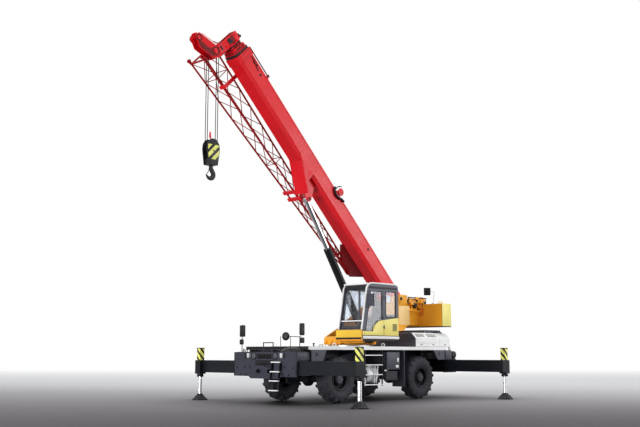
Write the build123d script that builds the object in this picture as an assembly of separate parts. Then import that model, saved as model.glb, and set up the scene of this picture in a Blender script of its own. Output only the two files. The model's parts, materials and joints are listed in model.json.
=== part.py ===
"""Two-axle rough-terrain crane, parked on its wheels with its outriggers out.

Millimetres. +X points forward, +Y to the left and +Z up. The origin lies on the ground
under the middle of the slewing ring, which is midway between the axles.
"""

from build123d import *
import math
import os

os.makedirs("parts", exist_ok=True)

# ---------------------------------------------------------------- running gear
WHEELBASE = 4180
TYRE_RADIUS = 745
TYRE_WIDTH = 500
LUG_COUNT = 16
LUG_DEPTH = 35
LUG_WIDTH = 76
LUG_LENGTH = 185
LUG_SLANT = 22
LUG_INSET = 8
WHEEL_Y = 1233
KINGPIN_INSET = 250
RIM_FLANGE_RADIUS = 350
RIM_WALL = 14
RIM_WIDTH = 440
HUB_RADIUS = 190
SPINDLE_RADIUS = 80
SPINDLE_CLEARANCE = 0.3
AXLE_TUBE_RADIUS = 105
DIFFERENTIAL_RADIUS = 230
KINGPIN_RADIUS = 32
KNUCKLE_HEIGHT = 250
YOKE_THICKNESS = 45
RUNNING_GAP = 6

# ---------------------------------------------------------------- chassis and deck
FRAME_HALF_WIDTH = 420
FRAME_BOTTOM = 1020
FRAME_TOP = 1690
FRAME_WALL = 16
DECK_TOP = 1800
DECK_EDGE = 110
DECK_PLATE = 12
DECK_HALF_WIDTH = 1450
DECK_FRONT = 3535
DECK_REAR = -3650
BUMPER_FRONT = 4050
BUMPER_PLATE = 47
BUMPER_TOP = 1620
BUMPER_BOTTOM = 860
CARRIER_REAR = -4400
SKIRT_THICKNESS = 40
LOCKER_WALL = 6
HOOD_FRONT = -1900
HOOD_REAR = -3900
HOOD_HALF_WIDTH = 1400
HOOD_TOP = 2300
HOOD_CHAMFER = 200
HOOD_WALL = 25

# ---------------------------------------------------------------- outriggers
FRONT_JACK_X = 3673
REAR_JACK_X = -3979
JACK_Y = 3660
BEAM_WIDTH = 290
BEAM_HEIGHT = 414
BEAM_BOTTOM = 930
BEAM_OFFSET = 155
BEAM_WALL = 14
CASING_WALL = 24
CASING_END = 1360
BEAM_CLEARANCE = 6
PAD_GAP = 0.3
PAD_LENGTH = 120
SLEEVE_HALF = 130
SLEEVE_BOTTOM = 880
SLEEVE_TOP = 1760
NECK_HALF = 85
JACK_RADIUS = 65
JACK_BORE = 70
JACK_GAP = 0.3
FLOAT_RADIUS = 265
FLOAT_HEIGHT = 200

# ---------------------------------------------------------------- superstructure
RING_RADIUS = 780
RING_HOLE = 620
RING_TOP = 1870
TURNTABLE_GAP = 0.3
TABLE_PLATE = 60
SIDE_PLATE_IN = 330
SIDE_PLATE = 50
COUNTERWEIGHT_FRONT = -3400
COUNTERWEIGHT_REAR = -3950
COUNTERWEIGHT_BOTTOM = 2540
COUNTERWEIGHT_TOP = 3380
COUNTERWEIGHT_SLAB_TOP = 2950
COUNTERWEIGHT_WING_IN = 620
DRUM_RADIUS = 170
DRUM_FLANGE_RADIUS = 270
DRUM_HALF_LENGTH = 300
WINCH_PLATE = 40
WINCHES = ((-3130, 3330), (-3700, 3400))  # (X, Z) of each drum's axis

# ---------------------------------------------------------------- cab
CAB_REAR = -865
CAB_FRONT = 1017
CAB_ROOF_FRONT = 720
CAB_RIGHT = 400
CAB_LEFT = 1450
CAB_FLOOR = 2060
CAB_ROOF = 3900
CAB_WALL = 40
SILL_HEIGHT = 2350
DOOR_REAR = -75
DOOR_FRONT_LOW = 905
DOOR_FRONT_HIGH = 655
DOOR_BOTTOM = 2160
DOOR_TOP = 3720
DOOR_GAP = 6
DOOR_FRAME = 75
GLASS = 8
HINGE_X = -100
HINGE_OUT = 15
HINGE_RADIUS = 14
HINGE_PIN = 7

# ---------------------------------------------------------------- boom
LUFF_ANGLE = 45
FOOT_X = -2319
FOOT_Z = 3551
FOOT_PIN_RADIUS = 60
PIN_GAP = 0.3
BOOM_TAIL = -350
BASE_FRONT = 10750
SECTION_TAIL = -50
TAIL_STEP = 250
BASE_HALF_WIDTH = 300
BASE_ROOF = 190
BASE_KEEL = -435
BOOM_CUT_WIDTH = 55
BOOM_CUT_HEIGHT = 125
BOOM_WALL = 10
SECTION_STEP = 28
COLLAR_LENGTH = 117
COLLAR_RISE = 22
HEAD_PLATE = 30
HEAD_HALF_WIDTH = 120
MAIN_SHEAVE = (11330, -940)
NOSE_SHEAVE = (12000, -1230)
SHEAVE_RADIUS = 210
NOSE_SHEAVE_RADIUS = 175
SHEAVE_THICKNESS = 44
GROOVE_DEPTH = 24
GROOVE_WIDTH = 30
SHEAVE_SPACING = 100
LIFT_EYE = (5450, -950)
LIFT_FOOT_X = -760
LIFT_FOOT_Z = 2150
BARREL_RADIUS = 135
BARREL_BORE = 108
BARREL_LENGTH = 3560
ROD_RADIUS = 85
ROD_LENGTH = 3550
LIFT_EYE_RADIUS = 80
LIFT_EYE_HALF = 110
LIFT_PIN_RADIUS = 50
BRACKET_PLATE = 30
BRACKET_SIDE = ((6900, -300), (6000, -300), (5980, -700), (5700, -985))  # stations and heights round a side
BRACKET_LUG = ((6250, -430), (5720, -955), (5560, -1045), (5380, -1035), (5345, -910), (5600, -430))

# ---------------------------------------------------------------- hook and ropes
ROPE_RADIUS = 12
BLOCK_SHEAVE_Z = 7880
BLOCK_HALF_WIDTH = 250
BLOCK_TOP = 8100
BLOCK_BOTTOM = 7280
CHEEK_THICKNESS = 30
CHEEK_OUT = 125
HOOK_BOTTOM = 6830
HOOK_RADIUS = 130
HOOK_SECTION = 48
HOOK_SHAPE = (  # angle round the bowl, radius of the section there
    (90, 38),
    (130, 40),
    (170, 43),
    (210, 46),
    (240, 47.5),
    (270, HOOK_SECTION),
    (300, 44),
    (330, 32),
    (352, 15),
)

# ---------------------------------------------------------------- lattice jib
JIB_CHORD = 32
JIB_LACE = 14
JIB_BAYS = 9
# Each end: station along the boom, then right and left sides, then lower and upper chords.
JIB_BUTT = {"s": 11200, "y": (-1150, -500), "z": (-980, -350)}
JIB_TIP = {"s": 2600, "y": (-950, -700), "z": (-500, -350)}
JIB_NOSE = 1600
JIB_SEAT_HALF = 60
JIB_SEATS = (  # station along the boom, half the spacing of its beams, share of the jib's width it spans
    (5550, 150, 1),
    (10150, 0, 0),
)

AXLES = {"front": WHEELBASE / 2, "rear": -WHEELBASE / 2}
SIDES = {"left": 1, "right": -1}
JACKS = {"front": FRONT_JACK_X, "rear": REAR_JACK_X}
KINGPIN_Y = WHEEL_Y - KINGPIN_INSET
BEAM_TOP = BEAM_BOTTOM + BEAM_HEIGHT


# ---------------------------------------------------------------- shape helpers
def block(x, y, z):
    """A box; each argument is a (low, high) pair."""
    size = Box(abs(x[1] - x[0]), abs(y[1] - y[0]), abs(z[1] - z[0]))
    return Pos((x[0] + x[1]) / 2, (y[0] + y[1]) / 2, (z[0] + z[1]) / 2) * size


def hollow_box(x, y, z):
    """A closed sheet-metal box; each argument is a (low, high) pair."""
    inner = [(low + LOCKER_WALL, high - LOCKER_WALL) for low, high in (x, y, z)]
    return block(x, y, z) - block(*inner)


def prism(corners, way):
    """A flat outline of 3-D corners, drawn out along a vector."""
    outline = Face(Wire.make_polygon([Vector(*c) for c in corners], close=True))
    return extrude(outline, amount=Vector(*way).length, dir=Vector(*way).normalized())


def side_profile(corners, y):
    """An outline of (X, Z) corners, as thick as from y[0] to y[1]."""
    return prism([(x, y[0], z) for x, z in corners], (0, y[1] - y[0], 0))


def end_profile(corners, x):
    """An outline of (Y, Z) corners, as long as from x[0] to x[1]."""
    return prism([(x[0], y, z) for y, z in corners], (x[1] - x[0], 0, 0))


def bar(start, end, radius):
    """A round bar between two points."""
    start, end = Vector(*start), Vector(*end)
    return Solid.make_cylinder(radius, (end - start).length, Plane(start, z_dir=end - start))


def square_bar(start, end, half):
    """A square bar between two points."""
    start, end = Vector(*start), Vector(*end)
    place = Plane(start, z_dir=end - start)
    return place.location * Pos(0, 0, (end - start).length / 2) * Box(2 * half, 2 * half, (end - start).length)


def turned(corners, centre, axis):
    """A solid turned about an axis through a centre: corners are (radius, distance along the axis)."""
    outline = Face(Wire.make_polygon([Vector(r, 0, h) for r, h in corners], close=True))
    return Plane(centre, z_dir=axis).location * Solid.revolve(outline, 360, Axis.Z)


def sheave(centre, radius):
    """A grooved rope wheel on an axle along Y."""
    half, groove = SHEAVE_THICKNESS / 2, GROOVE_WIDTH / 2
    corners = (
        (30, -half),
        (radius, -half),
        (radius, -groove),
        (radius - GROOVE_DEPTH, -groove),
        (radius - GROOVE_DEPTH, groove),
        (radius, groove),
        (radius, half),
        (30, half),
    )
    return turned(corners, centre, (0, 1, 0))


def save(name, *solids):
    """Writes one piece, of one or more solids, to its STEP file."""
    found = [s for part in solids for s in part.solids()]
    shape = found[0] if len(found) == 1 else Compound(children=found)
    export_step(shape, f"parts/{name}.step")


# ---------------------------------------------------------------- chassis
def chassis():
    """The box frame between the outrigger casings, with deck bearers and the ring's pedestal."""
    front = FRONT_JACK_X - BEAM_OFFSET - BEAM_WIDTH / 2 - BEAM_CLEARANCE - CASING_WALL
    rear = REAR_JACK_X + BEAM_OFFSET + BEAM_WIDTH / 2 + BEAM_CLEARANCE + CASING_WALL
    side = (-FRAME_HALF_WIDTH, FRAME_HALF_WIDTH)
    inside = (side[0] + FRAME_WALL, side[1] - FRAME_WALL)
    frame = block((rear, front), side, (FRAME_BOTTOM, FRAME_TOP))
    frame -= block((rear, front), inside, (FRAME_BOTTOM + FRAME_WALL, FRAME_TOP - FRAME_WALL))
    for x in (-2900, -700, 700, 2900):
        frame -= bar((x, 0, FRAME_BOTTOM - 1), (x, 0, FRAME_BOTTOM + FRAME_WALL + 1), 140)
    frame += bar((0, 0, FRAME_TOP), (0, 0, DECK_TOP), RING_RADIUS)
    frame -= bar((0, 0, FRAME_TOP - FRAME_WALL - 1), (0, 0, DECK_TOP), RING_HOLE - FRAME_HALF_WIDTH)
    deck_under = DECK_TOP - DECK_PLATE
    for x in (-3300, -1050, 1000, 3100):
        for way in SIDES.values():
            bearer = (
                (way * FRAME_HALF_WIDTH, 1480),
                (way * (DECK_HALF_WIDTH - 50), DECK_TOP - DECK_EDGE),
                (way * (DECK_HALF_WIDTH - 50), deck_under),
                (way * FRAME_HALF_WIDTH, deck_under),
            )
            frame += end_profile(bearer, (x - 12, x + 12))
    return frame


def casing(jack_x):
    """A cross box with one channel for each side's beam, and wear pads at the mouths."""
    reach = BEAM_OFFSET + BEAM_WIDTH / 2 + BEAM_CLEARANCE
    ends = (-CASING_END, CASING_END)
    low, high = BEAM_BOTTOM - BEAM_CLEARANCE, BEAM_TOP + BEAM_CLEARANCE
    outer = (jack_x - reach - CASING_WALL, jack_x + reach + CASING_WALL)
    box = block(outer, ends, (low - CASING_WALL, high + CASING_WALL))
    pad = BEAM_CLEARANCE - PAD_GAP
    for way in SIDES.values():
        centre = jack_x + way * BEAM_OFFSET
        half = BEAM_WIDTH / 2 + BEAM_CLEARANCE
        channel = (centre - half, centre + half)
        box -= block(channel, ends, (low, high))
        for end in SIDES.values():
            mouth = (end * CASING_END, end * (CASING_END - PAD_LENGTH))
            box += block(channel, sorted(mouth), (low, low + pad))
            box += block(channel, sorted(mouth), (high - pad, high))
    return box


def beam(jack_x, way):
    """An outrigger beam: a box tube with its upright jack sleeve and slimmer neck at the outer end."""
    centre = jack_x + way * BEAM_OFFSET
    half = BEAM_WIDTH / 2
    inner = JACK_Y - SLEEVE_HALF - 2 * CASING_END
    span = sorted((way * inner, way * (JACK_Y + SLEEVE_HALF)))
    tube = block((centre - half, centre + half), span, (BEAM_BOTTOM, BEAM_TOP))
    hollow = sorted((way * (inner - 1), way * (JACK_Y - SLEEVE_HALF - 200)))
    inside = (centre - half + BEAM_WALL, centre + half - BEAM_WALL)
    tube -= block(inside, hollow, (BEAM_BOTTOM + BEAM_WALL, BEAM_TOP - BEAM_WALL))
    sleeve_y = (way * JACK_Y - SLEEVE_HALF, way * JACK_Y + SLEEVE_HALF)
    sleeve_x = (jack_x - SLEEVE_HALF, jack_x + SLEEVE_HALF)
    tube += block(sleeve_x, sleeve_y, (SLEEVE_BOTTOM, BEAM_TOP))
    neck_y = (way * JACK_Y - NECK_HALF, way * JACK_Y + NECK_HALF)
    tube += block((jack_x - NECK_HALF, jack_x + NECK_HALF), neck_y, (BEAM_TOP, SLEEVE_TOP))
    tube += bar((jack_x, way * JACK_Y, SLEEVE_BOTTOM - 60), (jack_x, way * JACK_Y, SLEEVE_BOTTOM), 105)
    tube -= bar((jack_x, way * JACK_Y, SLEEVE_BOTTOM), (jack_x, way * JACK_Y, SLEEVE_TOP - 20), JACK_BORE)
    gland = JACK_RADIUS + JACK_GAP
    tube -= bar((jack_x, way * JACK_Y, SLEEVE_BOTTOM - 61), (jack_x, way * JACK_Y, SLEEVE_BOTTOM + 1), gland)
    return tube


def jack(jack_x, way):
    """A jack's rod with the round float on its foot."""
    foot = (jack_x, way * JACK_Y, 0)
    outline = (
        (0, 0),
        (FLOAT_RADIUS, 0),
        (FLOAT_RADIUS, 30),
        (FLOAT_RADIUS - 30, 45),
        (115, 130),
        (95, FLOAT_HEIGHT),
        (JACK_RADIUS, FLOAT_HEIGHT),
        (JACK_RADIUS, 1180),
        (0, 1180),
    )
    return turned(outline, foot, (0, 0, 1))


def deck():
    """The deck plate with its folded edge, open over the engine and the ring's pedestal."""
    half = DECK_HALF_WIDTH
    low = DECK_TOP - DECK_EDGE
    plate = block((DECK_REAR, DECK_FRONT), (-half, half), (low, DECK_TOP))
    inside = half - DECK_PLATE
    plate -= block(
        (DECK_REAR + DECK_PLATE, DECK_FRONT - DECK_PLATE), (-inside, inside), (low, DECK_TOP - DECK_PLATE)
    )
    plate -= block((HOOD_REAR + 300, HOOD_FRONT - 300), (-700, 700), (low, DECK_TOP))
    return plate - bar((0, 0, low), (0, 0, DECK_TOP), RING_RADIUS)


def side_skirts():
    """Dark panels under the deck's edge, cut away around the wheels."""
    top = DECK_TOP - DECK_EDGE
    outlines = (
        ((3390, top), (2720, top), (2900, 1350), (3390, 1350)),
        ((-3500, top), (-2850, top), (-3100, 1350), (-3500, 1350)),
        ((-1190, top), (-1170, top), (-1170, 440), (-1190, 440)),
    )
    found = []
    for way in SIDES.values():
        y = sorted((way * (DECK_HALF_WIDTH - SKIRT_THICKNESS), way * DECK_HALF_WIDTH))
        for outline in outlines[:2]:
            found.append(side_profile(outline, y))
        flap = sorted((way * 900, way * DECK_HALF_WIDTH))
        found.append(side_profile(outlines[2], flap))
    return found


def engine_hood():
    """The rear hood: an open-bottomed shell with bevelled upper edges and louvre slots."""
    def outline(wall):
        half, top = HOOD_HALF_WIDTH - wall, HOOD_TOP - wall
        return (
            (-half, DECK_TOP),
            (half, DECK_TOP),
            (half, top - HOOD_CHAMFER),
            (half - HOOD_CHAMFER, top),
            (-half + HOOD_CHAMFER, top),
            (-half, top - HOOD_CHAMFER),
        )

    hood = end_profile(outline(0), (HOOD_REAR, HOOD_FRONT))
    hood -= end_profile(outline(HOOD_WALL), (HOOD_REAR + HOOD_WALL, HOOD_FRONT - HOOD_WALL))
    for row in range(6):
        z = 1930 + row * 30
        hood -= block((-3050, -2050), (HOOD_HALF_WIDTH - HOOD_WALL, HOOD_HALF_WIDTH), (z, z + 14))
    muffler = block((-3880, -2880), (-250, 1000), (HOOD_TOP, HOOD_TOP + 110))
    return hood, muffler


def engine_block():
    """The engine, on the frame's top plate and up through the deck."""
    return block((-3450, -2350), (-330, 330), (FRAME_TOP, HOOD_TOP - 120))


def front_bumper():
    """The front plate with its nose box, tow eyes and tread deck."""
    front, back = BUMPER_FRONT, BUMPER_FRONT - BUMPER_PLATE
    half = DECK_HALF_WIDTH
    outline = (
        (-half, BUMPER_BOTTOM),
        (-750, BUMPER_BOTTOM),
        (-650, BUMPER_BOTTOM - 70),
        (650, BUMPER_BOTTOM - 70),
        (750, BUMPER_BOTTOM),
        (half, BUMPER_BOTTOM),
        (half, BUMPER_TOP),
        (-half, BUMPER_TOP),
    )
    plate = end_profile(outline, (back, front))
    for way in SIDES.values():
        plate -= bar((back, way * 497, 1500), (front, way * 497, 1500), 110)
        plate -= block((back, front), sorted((way * 630, way * 700)), (1420, 1590))
    plate -= block((back + 15, front), (-330, 330), (1400, 1560))
    casing_top = BEAM_TOP + BEAM_CLEARANCE + CASING_WALL
    nose_rear = FRONT_JACK_X - BEAM_OFFSET - BEAM_WIDTH / 2 - BEAM_CLEARANCE - CASING_WALL
    nose = block((nose_rear, back), (-CASING_END, CASING_END), (casing_top, BUMPER_TOP))
    nose -= block((back - 60, back), (-800, 800), (1400, BUMPER_TOP - 20))
    plate += nose
    for way in SIDES.values():
        eye = (
            (front, 960),
            (front + 80, 960),
            (front + 140, 1000),
            (front + 140, 1060),
            (front + 80, 1100),
            (front, 1100),
        )
        y = (way * 250 - 20, way * 250 + 20)
        plate += side_profile(eye, y)
        plate -= bar((front + 80, y[0], 1030), (front + 80, y[1], 1030), 30)
    return plate


def lamps():
    """Headlights and side lamps in the front plate's openings, and the rear lamp boxes."""
    back = BUMPER_FRONT - BUMPER_PLATE - 60
    found = []
    for way in SIDES.values():
        found.append(bar((back, way * 497, 1500), (BUMPER_FRONT + 8, way * 497, 1500), 95))
        found.append(block((back, BUMPER_FRONT + 4), sorted((way * 636, way * 694)), (1426, 1584)))
    return found


def rear_lamps():
    """The rear lamp boxes on their arms behind the rear casing."""
    reach = BEAM_OFFSET + BEAM_WIDTH / 2 + BEAM_CLEARANCE + CASING_WALL
    back = REAR_JACK_X - reach
    found = []
    for way in SIDES.values():
        y = sorted((way * 980, way * 1300))
        found.append(block((CARRIER_REAR, back), y, (1180, 1370)))
    return found


def rear_lockers():
    """The light grey boxes on the rear casing, and the tail plate behind it."""
    top = BEAM_TOP + BEAM_CLEARANCE + CASING_WALL
    found = []
    for way in SIDES.values():
        y = sorted((way * 700, way * CASING_END))
        found.append(hollow_box((-4050, DECK_REAR - 10), y, (top, 1690)))
    return found


def side_lockers():
    """The cabinet and battery box on the left, and the fuel tank and hydraulic tank."""
    left = FRAME_HALF_WIDTH
    cabinet = hollow_box((-930, -250), (left, 1430), (1040, 1620))
    battery = hollow_box((-830, -250), (left, 1400), (700, 970))
    battery += block((-600, -400), (left, 900), (970, 1040))
    tank = turned(((0, 0), (270, 0), (270, 640), (0, 640)), (60, 1080, 875), (1, 0, 0))
    tank -= bar((60 + LOCKER_WALL, 1080, 875), (700 - LOCKER_WALL, 1080, 875), 270 - LOCKER_WALL)
    tank += block((150, 600), (left, 1080), (1000, 1060))
    right = block((-930, 700), (-1400, -left), (620, 1450))
    right = fillet(right.edges().filter_by(Axis.X), 60)
    right -= block((-924, 694), (-1380, -left - 20), (640, 1430))
    return cabinet, battery, tank, right


def left_ladder():
    """The access ladder between the wheels: two flats and four treads."""
    ladder = block((870, 900), (1405, 1445), (500, DECK_TOP - DECK_EDGE))
    ladder += block((-10, 15), (1405, 1445), (500, DECK_TOP - DECK_EDGE))
    for z in (535, 860, 1180, 1500):
        ladder += block((0, 880), (1385, 1449), (z, z + 28))
    return ladder


def front_steps():
    """The front steps, hung from the front plate on two flats."""
    steps = None
    for y in (400, 770):
        flat = side_profile(
            ((4050, 1330), (4130, 1330), (4260, 420), (4220, 420), (4050, 1180)), (y, y + 30)
        )
        steps = flat if steps is None else steps + flat
    for x, z in ((4140, 1290), (4180, 1000), (4215, 720), (4250, 430)):
        steps += block((x - 60, x + 10), (400, 800), (z, z + 28))
    return steps


def handrail():
    """The loop of tube on the front deck."""
    rail = bar((4000, -100, BUMPER_TOP), (4000, -100, 1910), 16)
    rail += bar((4000, 340, BUMPER_TOP), (4000, 340, 1910), 16)
    return rail + bar((4000, -116, 1910), (4000, 356, 1910), 16)


def mirrors():
    """The driving mirrors at the front corners, each group on its own post."""
    right = bar((3850, -1300, BUMPER_TOP), (3850, -1300, 2500), 14)
    right += block((3835, 3865), (-1400, -1200), (2110, 2490))
    left = bar((3780, 1300, BUMPER_TOP), (3780, 1300, 2500), 14)
    left += block((3765, 3795), (1310, 1450), (2125, 2500))
    left += block((3765, 3795), (1310, 1450), (1890, 2060))
    left += bar((3780, 1300, 2090), (4030, 1300, 2090), 10)
    left += bar((4015, 1300, 2090), (4045, 1300, 2090), 125)
    return right, left


# ---------------------------------------------------------------- axles and wheels
def axle(x):
    """A drive axle: tube, differential, yokes for the kingpins, and spring seats to the frame."""
    z = TYRE_RADIUS
    reach = KINGPIN_Y - 130
    housing = bar((x, -reach, z), (x, reach, z), AXLE_TUBE_RADIUS)
    bulb = (
        (0, -190),
        (150, -170),
        (DIFFERENTIAL_RADIUS, -60),
        (DIFFERENTIAL_RADIUS, 60),
        (150, 170),
        (0, 190),
    )
    housing += turned(bulb, (x, 0, z), (1, 0, 0))
    top = KNUCKLE_HEIGHT / 2 + RUNNING_GAP
    for way in SIDES.values():
        pin_y = way * KINGPIN_Y
        web = sorted((way * (reach - 30), way * (KINGPIN_Y - 90)))
        housing += block((x - 60, x + 60), web, (z - top - YOKE_THICKNESS, z + top + YOKE_THICKNESS))
        for low in (z + top, z - top - YOKE_THICKNESS):
            arm = sorted((way * (reach - 30), pin_y))
            housing += block((x - 55, x + 55), arm, (low, low + YOKE_THICKNESS))
            housing += bar((x, pin_y, low), (x, pin_y, low + YOKE_THICKNESS), 60)
            housing -= bar((x, pin_y, low - 1), (x, pin_y, low + YOKE_THICKNESS + 1), KINGPIN_RADIUS + PIN_GAP)
        seat = sorted((way * 330, way * FRAME_HALF_WIDTH))
        housing += block((x - 140, x + 140), seat, (z, FRAME_BOTTOM))
    return housing


def knuckle(x, way):
    """A steering knuckle: the kingpin block between the yoke's arms, with the wheel's spindle."""
    z = TYRE_RADIUS
    pin_y = way * KINGPIN_Y
    half = KNUCKLE_HEIGHT / 2
    reach = half + RUNNING_GAP + YOKE_THICKNESS
    body = bar((x, pin_y, z - half), (x, pin_y, z + half), 75)
    body += bar((x, pin_y, z - reach), (x, pin_y, z + reach), KINGPIN_RADIUS)
    body += bar((x, pin_y, z), (x, way * (WHEEL_Y + 120), z), SPINDLE_RADIUS)
    arm_end = (x - 260, way * (KINGPIN_Y - 60), z)
    body += square_bar((x, pin_y, z), arm_end, 25)
    return body


def wheel_outline(points, way, x):
    """A wheel part turned about the wheel's own axis; distances run outwards from its centre plane."""
    return turned(points, (x, way * WHEEL_Y, TYRE_RADIUS), (0, way, 0))


def rim(x, way):
    """A wheel: rim barrel with flanges, disc, and the round planetary hub on the spindle."""
    half = RIM_WIDTH / 2
    flange = RIM_FLANGE_RADIUS
    base = flange - 40
    bore = SPINDLE_RADIUS + SPINDLE_CLEARANCE
    outline = (
        (bore, -120),
        (140, -120),
        (140, 20),
        (base - RIM_WALL, 40),
        (base - RIM_WALL, -half + 20),
        (flange - RIM_WALL, -half),
        (flange, -half),
        (flange, -half + 25),
        (base, -half + 45),
        (base, half - 45),
        (flange, half - 25),
        (flange, half),
        (flange - RIM_WALL, half),
        (base - RIM_WALL, half - 25),
        (base - RIM_WALL, 70),
        (HUB_RADIUS, 70),
        (HUB_RADIUS, 150),
        (HUB_RADIUS - 30, 190),
        (90, 205),
        (0, 205),
        (0, 135),
        (bore, 135),
    )
    return wheel_outline(outline, way, x)


def tyre():
    """A wide tyre about its own axis: the carcass, with two rows of slanted lugs round its tread."""
    half = TYRE_WIDTH / 2
    seat = RIM_FLANGE_RADIUS
    rim_half = RIM_WIDTH / 2
    base = RIM_FLANGE_RADIUS - 40
    crown = TYRE_RADIUS - LUG_DEPTH
    outline = (
        (base, -rim_half + 45),
        (seat, -rim_half + 25),
        (seat + 20, -rim_half + 10),
        (seat + 120, -half),
        (TYRE_RADIUS - 150, -half),
        (crown, -half + 35),
        (crown, half - 35),
        (TYRE_RADIUS - 150, half),
        (seat + 120, half),
        (seat + 20, rim_half - 10),
        (seat, rim_half - 25),
        (base, rim_half - 45),
    )
    carcass = turned(outline, (0, 0, 0), (0, 0, 1))
    slant = math.radians(LUG_SLANT)
    middle = (LUG_LENGTH * math.cos(slant) + LUG_WIDTH * math.sin(slant)) / 2 + LUG_INSET
    lug = Pos(crown, 0, middle) * Rot(LUG_SLANT, 0, 0) * Box(2 * LUG_DEPTH, LUG_WIDTH, LUG_LENGTH)
    other = mirror(lug, Plane.XY)
    pitch = 360 / LUG_COUNT
    lugs = []
    for step in range(LUG_COUNT):
        lugs.append(Rot(0, 0, step * pitch) * lug)
        lugs.append(Rot(0, 0, (step + 0.5) * pitch) * other)
    return carcass.fuse(*lugs)


# ---------------------------------------------------------------- superstructure
def slewing_ring():
    """The fixed race of the slewing bearing."""
    outline = (
        (RING_HOLE, DECK_TOP),
        (RING_RADIUS, DECK_TOP),
        (RING_RADIUS, RING_TOP - 20),
        (RING_RADIUS - 20, RING_TOP),
        (RING_HOLE, RING_TOP),
    )
    return turned(outline, (0, 0, 0), (0, 0, 1))


def turntable():
    """The revolving frame: bottom plate, two side plates, nose, cab floor, pins and tail arms."""
    low = RING_TOP + TURNTABLE_GAP
    high = low + TABLE_PLATE
    plate_out = SIDE_PLATE_IN + SIDE_PLATE
    frame = bar((0, 0, low), (0, 0, high), RING_RADIUS + 40)
    frame += block((0, 850), (-plate_out, plate_out), (low, high))
    outline = (
        (850, low),
        (850, 2150),
        (300, 2420),
        (-900, 3150),
        (-2070, 3700),
        (-2560, 3700),
        (-2700, 3560),
        (-2730, 3350),
        (-2730, 2590),
        (-2500, 2400),
        (-1640, 2330),
        (-850, low),
    )
    tail = (
        (-2700, 2600),
        (COUNTERWEIGHT_FRONT, 2600),
        (COUNTERWEIGHT_FRONT, COUNTERWEIGHT_SLAB_TOP),
        (-2700, COUNTERWEIGHT_SLAB_TOP),
    )
    for way in SIDES.values():
        y = sorted((way * SIDE_PLATE_IN, way * plate_out))
        frame += side_profile(outline, y)
        frame += side_profile(tail, y)
    cross = (-SIDE_PLATE_IN, SIDE_PLATE_IN)
    frame += block((-2730, -2690), cross, (2590, 2900))
    nose = ((850, low), (930, low), (930, 2080), (850, 2150))
    frame += side_profile(nose, (-plate_out, plate_out))
    frame += bar((FOOT_X, -plate_out, FOOT_Z), (FOOT_X, plate_out, FOOT_Z), FOOT_PIN_RADIUS)
    frame += bar((LIFT_FOOT_X, -plate_out, LIFT_FOOT_Z), (LIFT_FOOT_X, plate_out, LIFT_FOOT_Z), LIFT_PIN_RADIUS)
    floor = block((CAB_REAR + 60, CAB_FRONT - 60), (plate_out, CAB_LEFT - 70), (1975, CAB_FLOOR))
    frame += floor
    frame += block((1030, 1060), (300, CAB_LEFT), (CAB_FLOOR - 20, SILL_HEIGHT))
    frame += block((920, 1030), (300, CAB_LEFT - 60), (CAB_FLOOR - 60, CAB_FLOOR))
    return frame


def counterweight():
    """The cast counterweight: a slab between two high wings."""
    x = (COUNTERWEIGHT_REAR, COUNTERWEIGHT_FRONT)
    weight = block(x, (-1450, 1450), (COUNTERWEIGHT_BOTTOM, COUNTERWEIGHT_SLAB_TOP))
    for way in SIDES.values():
        y = sorted((way * COUNTERWEIGHT_WING_IN, way * 1450))
        weight += block(x, y, (COUNTERWEIGHT_SLAB_TOP, COUNTERWEIGHT_TOP))
    return weight


def winches():
    """The main and auxiliary winches, between brackets on the tail arms and the slab."""
    found = []
    plate_out = SIDE_PLATE_IN + SIDE_PLATE
    for x, z in WINCHES:
        half = DRUM_HALF_LENGTH
        outline = (
            (0, -half),
            (DRUM_FLANGE_RADIUS, -half),
            (DRUM_FLANGE_RADIUS, -half + 20),
            (DRUM_RADIUS, -half + 20),
            (DRUM_RADIUS, half - 20),
            (DRUM_FLANGE_RADIUS, half - 20),
            (DRUM_FLANGE_RADIUS, half),
            (0, half),
        )
        winch = turned(outline, (x, 0, z), (0, 1, 0))
        winch += bar((x, -plate_out, z), (x, plate_out, z), 60)
        for way in SIDES.values():
            y = sorted((way * (plate_out - WINCH_PLATE), way * plate_out))
            foot = COUNTERWEIGHT_SLAB_TOP
            plate = (
                (x - 180, foot),
                (x + 180, foot),
                (x + 140, z + 150),
                (x - 140, z + 150),
            )
            winch += side_profile(plate, y)
        found.append(winch)
    return found


def cab_outline(inset):
    """The cab's side outline, (X, Z), moved in by the same amount all round."""
    return (
        (CAB_FRONT - inset, CAB_FLOOR + inset),
        (CAB_FRONT - inset, SILL_HEIGHT),
        (CAB_ROOF_FRONT - inset, CAB_ROOF - 50 - inset),
        (CAB_ROOF_FRONT - 60 - inset, CAB_ROOF - inset),
        (CAB_REAR + 60 + inset, CAB_ROOF - inset),
        (CAB_REAR + inset, CAB_ROOF - 60 - inset),
        (CAB_REAR + inset, CAB_FLOOR + inset),
    )


def screen_x(z):
    """How far forward the outside of the windscreen lies at a height."""
    share = (z - SILL_HEIGHT) / (CAB_ROOF - 50 - SILL_HEIGHT)
    return CAB_FRONT + share * (CAB_ROOF_FRONT - CAB_FRONT)


def door_outline(grow):
    """The door's side outline, (X, Z), grown by the same amount all round."""
    return (
        (DOOR_REAR - grow, DOOR_BOTTOM - grow),
        (DOOR_REAR - grow, DOOR_TOP + grow),
        (DOOR_FRONT_HIGH + grow, DOOR_TOP + grow),
        (DOOR_FRONT_LOW + grow, SILL_HEIGHT + 40),
        (DOOR_FRONT_LOW + grow, DOOR_BOTTOM - grow),
    )


REAR_PANE = ((-720, 2800), (-200, 2800), (-200, 3660), (-720, 3660))
RIGHT_PANES = (
    ((-720, 2800), (-60, 2800), (-60, 3700), (-720, 3700)),
    ((20, 2500), (800, 2500), (600, 3700), (20, 3700)),
)
SCREEN_PANES = ((2400, 2620), (2660, 3790))


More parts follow.
